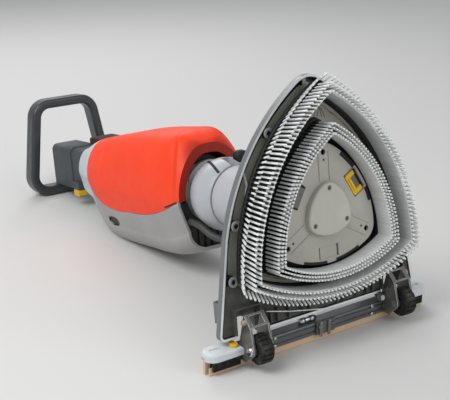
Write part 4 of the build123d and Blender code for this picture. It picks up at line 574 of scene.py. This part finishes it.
class Strands:
    """Four-sided strands of one brush, with a tone at each corner of a face."""

    def __init__(self, centre_z):
        self.bm = bmesh.new()
        self.layer = self.bm.loops.layers.float_color.new(TUFT_LAYER)
        self.centre_z = centre_z

    def paint(self, face, tones):
        """Give the corners of a face their tones."""
        for loop, tone in zip(face.loops, tones):
            loop[self.layer] = (tone, tone, tone, 1.0)

    def ring(self, place, corners):
        """Vertices at the corners round a place in the brush."""
        points = [place + corner for corner in corners]
        return [self.bm.verts.new(lean_point(p.x, p.y, p.z + self.centre_z)) for p in points]

    def sides(self, low, high, low_tones, high_tones):
        """Four faces between two rings of vertices."""
        for a in range(4):
            b = (a + 1) % 4
            face = self.bm.faces.new((low[a], low[b], high[b], high[a]))
            self.paint(face, (low_tones[a], low_tones[a], high_tones[a], high_tones[a]))

    def strand(self, foot, tip, share, corners, low_tones, high_tones):
        """Painted shade on the root for a share of the length, and above it a tone for each side, low and
        high.
        """
        low, middle, high = [self.ring(place, corners) for place in (foot, foot.lerp(tip, share), tip)]
        self.sides(low, middle, (ROOT_SHADE,) * 4, (ROOT_SHADE,) * 4)
        self.sides(middle, high, low_tones, high_tones)
        self.paint(self.bm.faces.new(high), (high_tones[0],) * 4)

    def add_row(self, row, draw):
        """Tufts, each a bundle of filaments."""
        for foot, tip, outward, sideways in stems(row):
            tone = draw.uniform(*TUFT_TONES)
            corners = [(outward * a + sideways * b) * FILAMENT for a, b in SQUARE]
            for across, out in BUNDLE:
                spread = sideways * across + outward * out
                sway = outward * draw.uniform(-SWAY_OUT, SWAY_OUT)
                sway += sideways * draw.uniform(-SWAY_SIDE, SWAY_SIDE)
                end = tip + spread * TIP_SPREAD + sway
                end.y += draw.uniform(0.0, RAGGED)
                self.strand(foot + spread, end, root_shade_share(row), corners,
                            (tone * TUFT_LOW_SHADE,) * 4, (tone,) * 4)

    def add_curtain(self, row, tones, draw):
        """Dense inner face of a brush, darker than the tufts as painted shade, with black painted shade on
        its outward sides.
        """
        half = row.tip * math.pi / 6 / row.count
        for foot, tip, outward, sideways in stems(row):
            tone = draw.uniform(*tones)
            low = tone * CURTAIN_LOW_SHADE
            corners = [outward * (a * CURTAIN_HALF) + sideways * (b * half) for a, b in SQUARE]
            self.strand(foot, tip, root_shade_share(row), corners,
                        (low, ROOT_SHADE, low, low), (tone, ROOT_SHADE, tone, tone))


def tufts(name, rows, curtain, curtain_shaded_tones, centre_z, body, seed):
    """All strands of one brush as a piece."""
    draw = random.Random(seed)
    strands = Strands(centre_z)
    for row in rows:
        strands.add_row(row, draw)
    strands.add_curtain(curtain, curtain_shaded_tones, draw)
    bmesh.ops.recalc_face_normals(strands.bm, faces=strands.bm.faces)
    return new_piece(name, strands.bm, TUFT_PALE, body, smooth=False)


# Height of each brush's middle, depths of the upright, splayed and curtain tips, and widths of the rings
OUTER_Z, INNER_Z = -1.0, -12.0
TIP_DEPTH, SPLAY_DEPTH, OUTER_CURTAIN_DEPTH, INNER_CURTAIN_DEPTH = -11.0, 2.0, -7.0, -8.0
OUTER_RING, OUTER_HOLE = 347.0, 310.0
INNER_RING, INNER_HOLE = 268.0, 224.0
OUTER_ROWS = [Row(343.0, 378.0, 45, SPLAY_DEPTH, 0.0, 23.0), Row(336.0, 350.0, 45, TIP_DEPTH, 0.5, 24.0),
              Row(322.0, 328.0, 45, TIP_DEPTH, 0.0, 6.0)]
# The outer curtain's tones: random, and darker than the tufts' as painted shade
OUTER_CURTAIN, OUTER_SHADED_TONES = Row(317.0, 323.0, 130, OUTER_CURTAIN_DEPTH, 0.0, 25.0), (0.64, 0.74)
INNER_ROWS = [Row(257.0, 257.0, 40, TIP_DEPTH, 0.0, 24.0), Row(242.5, 242.5, 40, TIP_DEPTH, 0.5, 1.0),
              Row(229.5, 229.5, 40, TIP_DEPTH, 0.0, -1.0)]
# The inner curtain's tones: random, and darker than the tufts' as painted shade
INNER_CURTAIN, INNER_SHADED_TONES = Row(226.5, 226.5, 96, INNER_CURTAIN_DEPTH, 0.0, 24.0), (0.68, 0.78)

outer_tufts = tufts("outer_tufts", OUTER_ROWS, OUTER_CURTAIN, OUTER_SHADED_TONES, OUTER_Z, "outer", seed=11)
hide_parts("outer_brush")
backing_ring("outer_ring", OUTER_RING, OUTER_HOLE, OUTER_Z, "outer")
inner_tufts = tufts("inner_tufts", INNER_ROWS, INNER_CURTAIN, INNER_SHADED_TONES, INNER_Z, "inner", seed=12)
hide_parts("inner_brush")
backing_ring("inner_ring", INNER_RING, INNER_HOLE, INNER_Z, "inner")

# Small trim, from boxes and round bars


def block(bm, centre, size, edge=0.0, turn=Matrix.Identity(3)):
    """Add a box at a row-frame point, with edges softened by a width in millimetres."""
    stretch = Matrix.Diagonal((*[s / 1000 for s in size], 1.0))
    made = bmesh.ops.create_cube(bm, size=1.0, matrix=Matrix.Translation(centre) @ turn.to_4x4() @ stretch)
    if edge:
        edges = list({e for v in made["verts"] for e in v.link_edges})
        bmesh.ops.bevel(bm, geom=edges, offset=edge / 1000, segments=2, profile=0.5, affect="EDGES")


ROUND_SIDES, LINE_SIDES, WIRE_SIDES = 20, 10, 8


def rod(bm, start, end, radius, sides=ROUND_SIDES):
    """Add a round bar between two row-frame points, with a radius in millimetres."""
    line = end - start
    turn = line.to_track_quat("Z", "Y").to_matrix().to_4x4()
    bmesh.ops.create_cone(bm, cap_ends=True, segments=sides, radius1=radius / 1000, radius2=radius / 1000,
                          depth=line.length, matrix=Matrix.Translation((start + end) / 2) @ turn)


def chain(points, radius, sides):
    """Bmesh of round bars from point to point."""
    bm = bmesh.new()
    for start, end in zip(points, points[1:]):
        rod(bm, start, end, radius, sides)
    return bm


# Inner plate: radius of its flanks, distance of their middle behind the plate's, and depth of its front
PLATE_ARC, PLATE_FAR, PLATE_FRONT = 171.0, 80.25, 22.0


def plate_block(bm, flank, reach, across, size, depth=PLATE_FRONT, edge=0.0, turn=0.0):
    """Add a box on the inner plate, at a reach towards a flank and an offset square to it."""
    x, z = polar(reach, flank)
    dx, dz = polar(across, flank + 90)
    lie = LEAN_TURN @ Matrix.Rotation(math.radians(-flank - turn), 3, "Y")
    block(bm, lean_point(x + dx, depth, z + dz + INNER_Z), size, edge, lie)


LATCH_FLANK = 30.0
INSERT_REACH, INSERT_DEPTH, INSERT_SIZE, INSERT_EDGE = 75.1, 22.9, (9.0, 0.8, 22.0), 0.2
SLOT_END_REACH, SLOT_END_SIZE = 60.5, (1.6, 0.4, 46.0)
SLOT_SIDE_REACH, SLOT_SIDE_OFFSET, SLOT_SIDE_SIZE = 72.0, 22.2, (24.0, 0.4, 1.4)


def latch_trim():
    """Grey insert in the window of the brush latch, and black strips of painted shade in the slot round the
    latch.
    """
    bm = bmesh.new()
    plate_block(bm, LATCH_FLANK, INSERT_REACH, 0.0, INSERT_SIZE, INSERT_DEPTH, INSERT_EDGE)
    new_piece("latch_insert", bm, INSERT_GREY, "latch", smooth=False)
    bm = bmesh.new()
    plate_block(bm, LATCH_FLANK, SLOT_END_REACH, 0.0, SLOT_END_SIZE)
    for offset in (SLOT_SIDE_OFFSET, -SLOT_SIDE_OFFSET):
        plate_block(bm, LATCH_FLANK, SLOT_SIDE_REACH, offset, SLOT_SIDE_SIZE)
    new_piece("latch_slot_shade", bm, RING_BLACK, "inner", smooth=False)


# Recessed lengths in the edge of the inner plate, painted black as shade: flank, start and end along it, and
# inset
EDGE_STEP_SHADES = ((270.0, -54.0, -5.0, 5.0), (270.0, 15.0, 65.0, 4.5), (30.0, 23.0, 60.0, 7.5),
              (30.0, -48.0, -23.0, 6.0), (150.0, -30.0, -18.0, 4.0), (150.0, 22.0, 50.0, 5.0))
STRIP_LENGTH, STRIP_THICK, STRIP_OVERLAP = 6.0, 0.5, 1.06


def plate_step_shades():
    """Short black plates of painted shade along the recessed edge of the inner plate."""
    bm = bmesh.new()
    for flank, start, end, inset in EDGE_STEP_SHADES:
        count = round((end - start) / STRIP_LENGTH)
        length = (end - start) / count
        for step in range(count):
            across = start + (step + 0.5) * length
            reach = math.sqrt(PLATE_ARC ** 2 - across ** 2) - PLATE_FAR - inset / 2
            turn = math.degrees(math.asin(across / PLATE_ARC))
            plate_block(bm, flank, reach, across, (inset, STRIP_THICK, length * STRIP_OVERLAP), turn=turn)
    new_piece("plate_step_shades", bm, RING_BLACK, "inner", smooth=False)


POCKET_FLANK = 150.0
POCKET_REACH, POCKET_OFFSET, POCKET_SIZE = 64.0, 0.5, (12.0, 0.3, 36.0)
POCKET_END_REACH, POCKET_END_OFFSETS, POCKET_END_SIZE = 62.5, (-18.0, 19.0), (9.0, 0.5, 3.0)


def pocket():
    """Grey floor of the pocket in the left flank of the inner plate, and black painted shade at its ends."""
    bm = bmesh.new()
    plate_block(bm, POCKET_FLANK, POCKET_REACH, POCKET_OFFSET, POCKET_SIZE)
    new_piece("pocket_floor", bm, POCKET_GREY, "inner", smooth=False)
    bm = bmesh.new()
    for offset in POCKET_END_OFFSETS:
        plate_block(bm, POCKET_FLANK, POCKET_END_REACH, offset, POCKET_END_SIZE)
    new_piece("pocket_end_shades", bm, RING_BLACK, "inner", smooth=False)


# Fine ribs in the upper corner of the outer carrier, as X and Z of their ends
RIB_DEPTH, RIB_RADIUS = 49.3, 0.8
RIBS = (((11.1, 152.2), (6.2, 138.7)), ((18.4, 155.9), (13.8, 140.0)), ((19.6, 154.6), (22.8, 138.7)),
        ((22.4, 152.9), (29.6, 137.0)), ((34.4, 150.0), (44.5, 140.1)))


def carrier_ribs():
    """Fan of fine ribs on the outer carrier, in a darker grey than the carrier as painted shade."""
    bm = bmesh.new()
    for ends in RIBS:
        start, end = [lean_point(x, RIB_DEPTH, z) for x, z in ends]
        rod(bm, start, end, RIB_RADIUS, WIRE_SIDES)
    new_piece("carrier_ribs", bm, POCKET_GREY, "outer")


WIRE_POINTS = ((-136.5, 56.6, 70.4), (-133.7, 55.6, 56.6), (-132.9, 55.4, 47.1), (-136.5, 56.6, 34.1))
WIRE_RADIUS = 2.0
NOSE_CLIP_PLACE, NOSE_CLIP_SIZE, NOSE_CLIP_EDGE = (-9.0, 54.0, 201.0), (9.0, 11.0, 13.0), 1.5


def pan_trim():
    """White wire on the floor of the pan, and the clip at the nose."""
    bm = chain([lean_point(*point) for point in WIRE_POINTS], WIRE_RADIUS, WIRE_SIDES)
    new_piece("pan_wire", bm, WIRE_WHITE, "deck")
    bm = bmesh.new()
    block(bm, lean_point(*NOSE_CLIP_PLACE), NOSE_CLIP_SIZE, NOSE_CLIP_EDGE, LEAN_TURN)
    new_piece("nose_clip", bm, BUMPER_GREY, "deck", smooth=False)


# Nuts and the end of a stud outside the wheel guards: side, length, radius and number of sides
GUARD_FACE, GUARD_Y, GUARD_Z = 175.2, 6.0, -166.0
GUARD_BOLTS = ((-1, 4.3, 5.0, 6), (-1, 5.8, 3.0, ROUND_SIDES), (1, 4.3, 5.0, 6))
# Bolts of the squeegee bar, and the tube on it with two collars
BOLT_X, BOLT_ROWS, BOLT_BACK, BOLT_FRONT, BOLT_RADIUS = 108.0, (-217.5, -231.5), 15.5, 11.5, 3.2
TUBE_START, TUBE_END, TUBE_Y, TUBE_Z, TUBE_RADIUS = -46.0, -12.0, 27.0, -209.6, 4.6
COLLAR_PLACES, COLLAR_HALF, COLLAR_Z, COLLAR_RADIUS = (-40.0, -20.0), 4.0, -209.4, 5.6


def carriage_bolts():
    """Bolts and tube of the squeegee carriage."""
    bm = bmesh.new()
    for side, length, radius, sides in GUARD_BOLTS:
        start, end = [floor_point(side * x, GUARD_Y, GUARD_Z) for x in (GUARD_FACE, GUARD_FACE + length)]
        rod(bm, start, end, radius, sides)
    new_piece("guard_bolts", bm, BRONZE, "carriage", smooth=False)
    bm = bmesh.new()
    for x in (-BOLT_X, BOLT_X):
        for z in BOLT_ROWS:
            rod(bm, floor_point(x, BOLT_BACK, z), floor_point(x, BOLT_FRONT, z), BOLT_RADIUS)
    rod(bm, floor_point(TUBE_START, TUBE_Y, TUBE_Z), floor_point(TUBE_END, TUBE_Y, TUBE_Z), TUBE_RADIUS)
    for x in COLLAR_PLACES:
        start, end = [floor_point(x + half, TUBE_Y, COLLAR_Z) for half in (-COLLAR_HALF, COLLAR_HALF)]
        rod(bm, start, end, COLLAR_RADIUS)
    new_piece("bar_bolts", bm, STEEL, "carriage")


JAW_PLACES, JAW_Y, JAW_Z, JAW_SIZE, JAW_EDGE = (-12.0, 6.0), 9.4, -226.5, (5.0, 4.0, 27.0), 0.8
BLADE_LIP_PLACE, BLADE_LIP_SIZE, BLADE_LIP_EDGE = (0.0, 19.4, -242.9), (470.0, 4.0, 13.0), 0.6
COMB_COUNT, COMB_START, COMB_STEP = 18, 179.0, 3.0
COMB_Y, COMB_Z, COMB_SIZE, COMB_EDGE = 14.4, -232.6, (2.4, 5.0, 19.0), 0.5


def squeegee_trim():
    """Jaws of the middle clamp, lip of the rear blade, and the combs of bristles under the end caps."""
    bm = bmesh.new()
    for x in JAW_PLACES:
        block(bm, floor_point(x, JAW_Y, JAW_Z), JAW_SIZE, JAW_EDGE)
    new_piece("clamp_jaws", bm, BRACKET_METAL, "carriage", smooth=False)
    bm = bmesh.new()
    block(bm, floor_point(*BLADE_LIP_PLACE), BLADE_LIP_SIZE, BLADE_LIP_EDGE)
    new_piece("blade_lip", bm, RUBBER_TAN, "carriage", smooth=False)
    bm = bmesh.new()
    for side in (-1, 1):
        for step in range(COMB_COUNT):
            x = side * (COMB_START + COMB_STEP * step)
            block(bm, floor_point(x, COMB_Y, COMB_Z), COMB_SIZE, COMB_EDGE)
    new_piece("side_brushes", bm, RUBBER_BLACK, "carriage", smooth=False)


RAIL_DEPTH, RAIL_RADIUS = 43.5, 1.0
RAIL_POINTS = ((-121.0, -162.1), (-72.1, -174.6), (-29.9, -183.1), (13.5, -191.8))


def deck_rail():
    """Pale rail along the lower edge of the deck, through points given by X and Z."""
    bm = chain([lean_point(x, RAIL_DEPTH, z) for x, z in RAIL_POINTS], RAIL_RADIUS, LINE_SIDES)
    new_piece("deck_rail", bm, WIRE_WHITE, "deck")


DOME_PLACE, DOME_SIZE, DOME_EDGE = (0.0, 785.5, 32.0), (61.0, 55.0, 18.0), 5.0


def lid_dome():
    """Raised dark dome of the tank lid."""
    bm = bmesh.new()
    block(bm, lean_point(*DOME_PLACE), DOME_SIZE, DOME_EDGE, LEAN_TURN)
    new_piece("lid_dome", bm, LID_MAROON, "lid")


# Black lines of painted shade laid on CAD pieces: node, both ends in the row frame in metres, and radius
LAID_LINES = {
    "barrel_slot_shade": ("neck_barrel", (-0.012, -0.135, 0.234), (-0.037, -0.212, 0.237), 2.6),
    "hood_step_shade": ("tank_hood", (-0.0905, -0.108, 0.148), (-0.0868, -0.146, 0.168), 1.6),
}
LAID_STEPS = 8


def laid_lines():
    """Painted shade as black lines: in the slot along the top of the neck barrel, and at the step in the
    hood's lower corner.
    """
    for name, (node, start, end, radius) in LAID_LINES.items():
        places = [Vector(start).lerp(Vector(end), step / LAID_STEPS) for step in range(LAID_STEPS + 1)]
        points = [NODES[node].closest_point_on_mesh(place)[1] for place in places]
        new_piece(name, chain(points, radius, LINE_SIDES), RING_BLACK, "body")


KNOB_PLACE, KNOB_SIZE, KNOB_EDGE = (22.0, 293.0, 45.0), (26.0, 24.0, 24.0), 8.0


def neck_knob():
    """Dark knob on the far side of the neck barrel."""
    bm = bmesh.new()
    block(bm, lean_point(*KNOB_PLACE), KNOB_SIZE, KNOB_EDGE, LEAN_TURN)
    new_piece("neck_knob", bm, RING_BLACK, "body")


for make in (latch_trim, plate_step_shades, pocket, carrier_ribs, pan_trim, carriage_bolts, squeegee_trim,
             deck_rail, lid_dome, laid_lines, neck_knob):
    make()

# Water hose under the neck
HOSE_POINTS = ((-61.0, 349.7, -74.0), (-61.0, 328.0, -74.0), (-54.0, 296.0, -94.0), (-42.0, 270.0, -100.0),
               (-42.0, 244.3, -100.0))
HOSE_RADIUS = 6.5


def hose_meshes():
    """Points along the hose's smooth route, and the tube round them."""
    curve = bpy.data.curves.new("hose_route", "CURVE")
    curve.dimensions = "3D"
    spline = curve.splines.new("NURBS")
    spline.points.add(len(HOSE_POINTS) - 1)
    for point, place in zip(spline.points, HOSE_POINTS):
        point.co = (*lean_point(*place), 1.0)
    spline.order_u = 3
    spline.use_endpoint_u = True
    spline.resolution_u = 10
    route_object = linked("hose_route", curve)
    bpy.context.view_layer.update()
    line = bpy.data.meshes.new_from_object(route_object)
    points = [v.co.copy() for v in line.vertices]
    curve.bevel_depth = HOSE_RADIUS / 1000
    curve.bevel_resolution = 5
    curve.use_fill_caps = True
    depsgraph = bpy.context.evaluated_depsgraph_get()
    tube = bpy.data.meshes.new_from_object(route_object.evaluated_get(depsgraph))
    bpy.data.objects.remove(route_object)
    tube.materials.clear()
    tube.materials.append(HOSE_OLIVE)
    for polygon in tube.polygons:
        polygon.use_smooth = True
    return points, tube


route, hose_mesh = hose_meshes()
hose = linked("hose_tube", hose_mesh)
lean_point(*HOSE_POINTS[0])
lean_point(*HOSE_POINTS[-1])
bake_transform(hose)
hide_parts("water_hose")
hose_length = sum((b - a).length for a, b in zip(route, route[1:]))
lean_point(*HOSE_POINTS[0])
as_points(route)

# Stage: a pale floor and soft light, in metres and watts
FLOOR_HALF, FLOOR_TONE, FLOOR_ROUGH = 30.0, (214, 214, 212), 0.7
SKY_TONE, SKY_STRENGTH = (236, 238, 240), 0.55
# Lamps: place, aim, width and height, and power
SOFTBOXES = {
    "key": ((-1.9, -0.5, 2.3), (0.0, -0.2, 0.2), (1.6, 1.6), 48.0),
    "back": ((0.6, 2.4, 1.9), (0.0, 0.0, 0.2), (2.0, 1.0), 26.0),
    "front": ((0.9, -2.6, 1.4), (0.0, -0.3, 0.2), (1.6, 1.2), 14.0),
}

floor_mesh = bpy.data.meshes.new("floor")
floor_mesh.from_pydata([(x * FLOOR_HALF, y * FLOOR_HALF, 0) for x, y in SQUARE], [], [(0, 1, 2, 3)])
floor = linked("floor", floor_mesh)
floor_nodes = Nodes("floor_pale")
floor_nodes.set(Base_Color=linear(FLOOR_TONE), Roughness=FLOOR_ROUGH)
floor_mesh.materials.append(floor_nodes.material)

world = bpy.data.worlds.new("studio")
bpy.context.scene.world = world
world.use_nodes = True
sky = world.node_tree.nodes["Background"]
sky.inputs["Color"].default_value = linear(SKY_TONE)
sky.inputs["Strength"].default_value = SKY_STRENGTH

for name, (place, aim, size, power) in SOFTBOXES.items():
    light = bpy.data.lights.new(name, "AREA")
    light.shape = "RECTANGLE"
    light.size, light.size_y = size
    light.energy = power
    lamp = linked(name, light)
    lamp.location = place
    lamp.rotation_mode = "QUATERNION"
    lamp.rotation_quaternion = (Vector(aim) - Vector(place)).to_track_quat("-Z", "Y")

# Camera at the photograph's viewing angle
AZIMUTH, ELEVATION = math.radians(-34.670), math.radians(19.695)
CAMERA_PLACE = (-1036.828, -1184.285, 568.254)
FOCAL_PIXELS, IMAGE_WIDTH, SENSOR_WIDTH = 1020.589, 450, 36.0
right = Vector((math.cos(AZIMUTH), math.sin(AZIMUTH), 0))
back = Vector((math.sin(AZIMUTH) * math.cos(ELEVATION), -math.cos(AZIMUTH) * math.cos(ELEVATION),
               math.sin(ELEVATION)))
turn = Matrix((right, back.cross(right), back)).transposed().to_4x4()
camera_data = bpy.data.cameras.new("camera")
camera_data.sensor_width = SENSOR_WIDTH
camera_data.lens = SENSOR_WIDTH * FOCAL_PIXELS / IMAGE_WIDTH
camera_data.clip_start, camera_data.clip_end = 0.05, 100.0
camera = linked("camera", camera_data)
camera.matrix_world = Matrix.Translation(floor_point(*CAMERA_PLACE)) @ turn
bpy.context.scene.camera = camera
bpy.context.scene.view_settings.view_transform = "Standard"

bpy.context.view_layer.update()
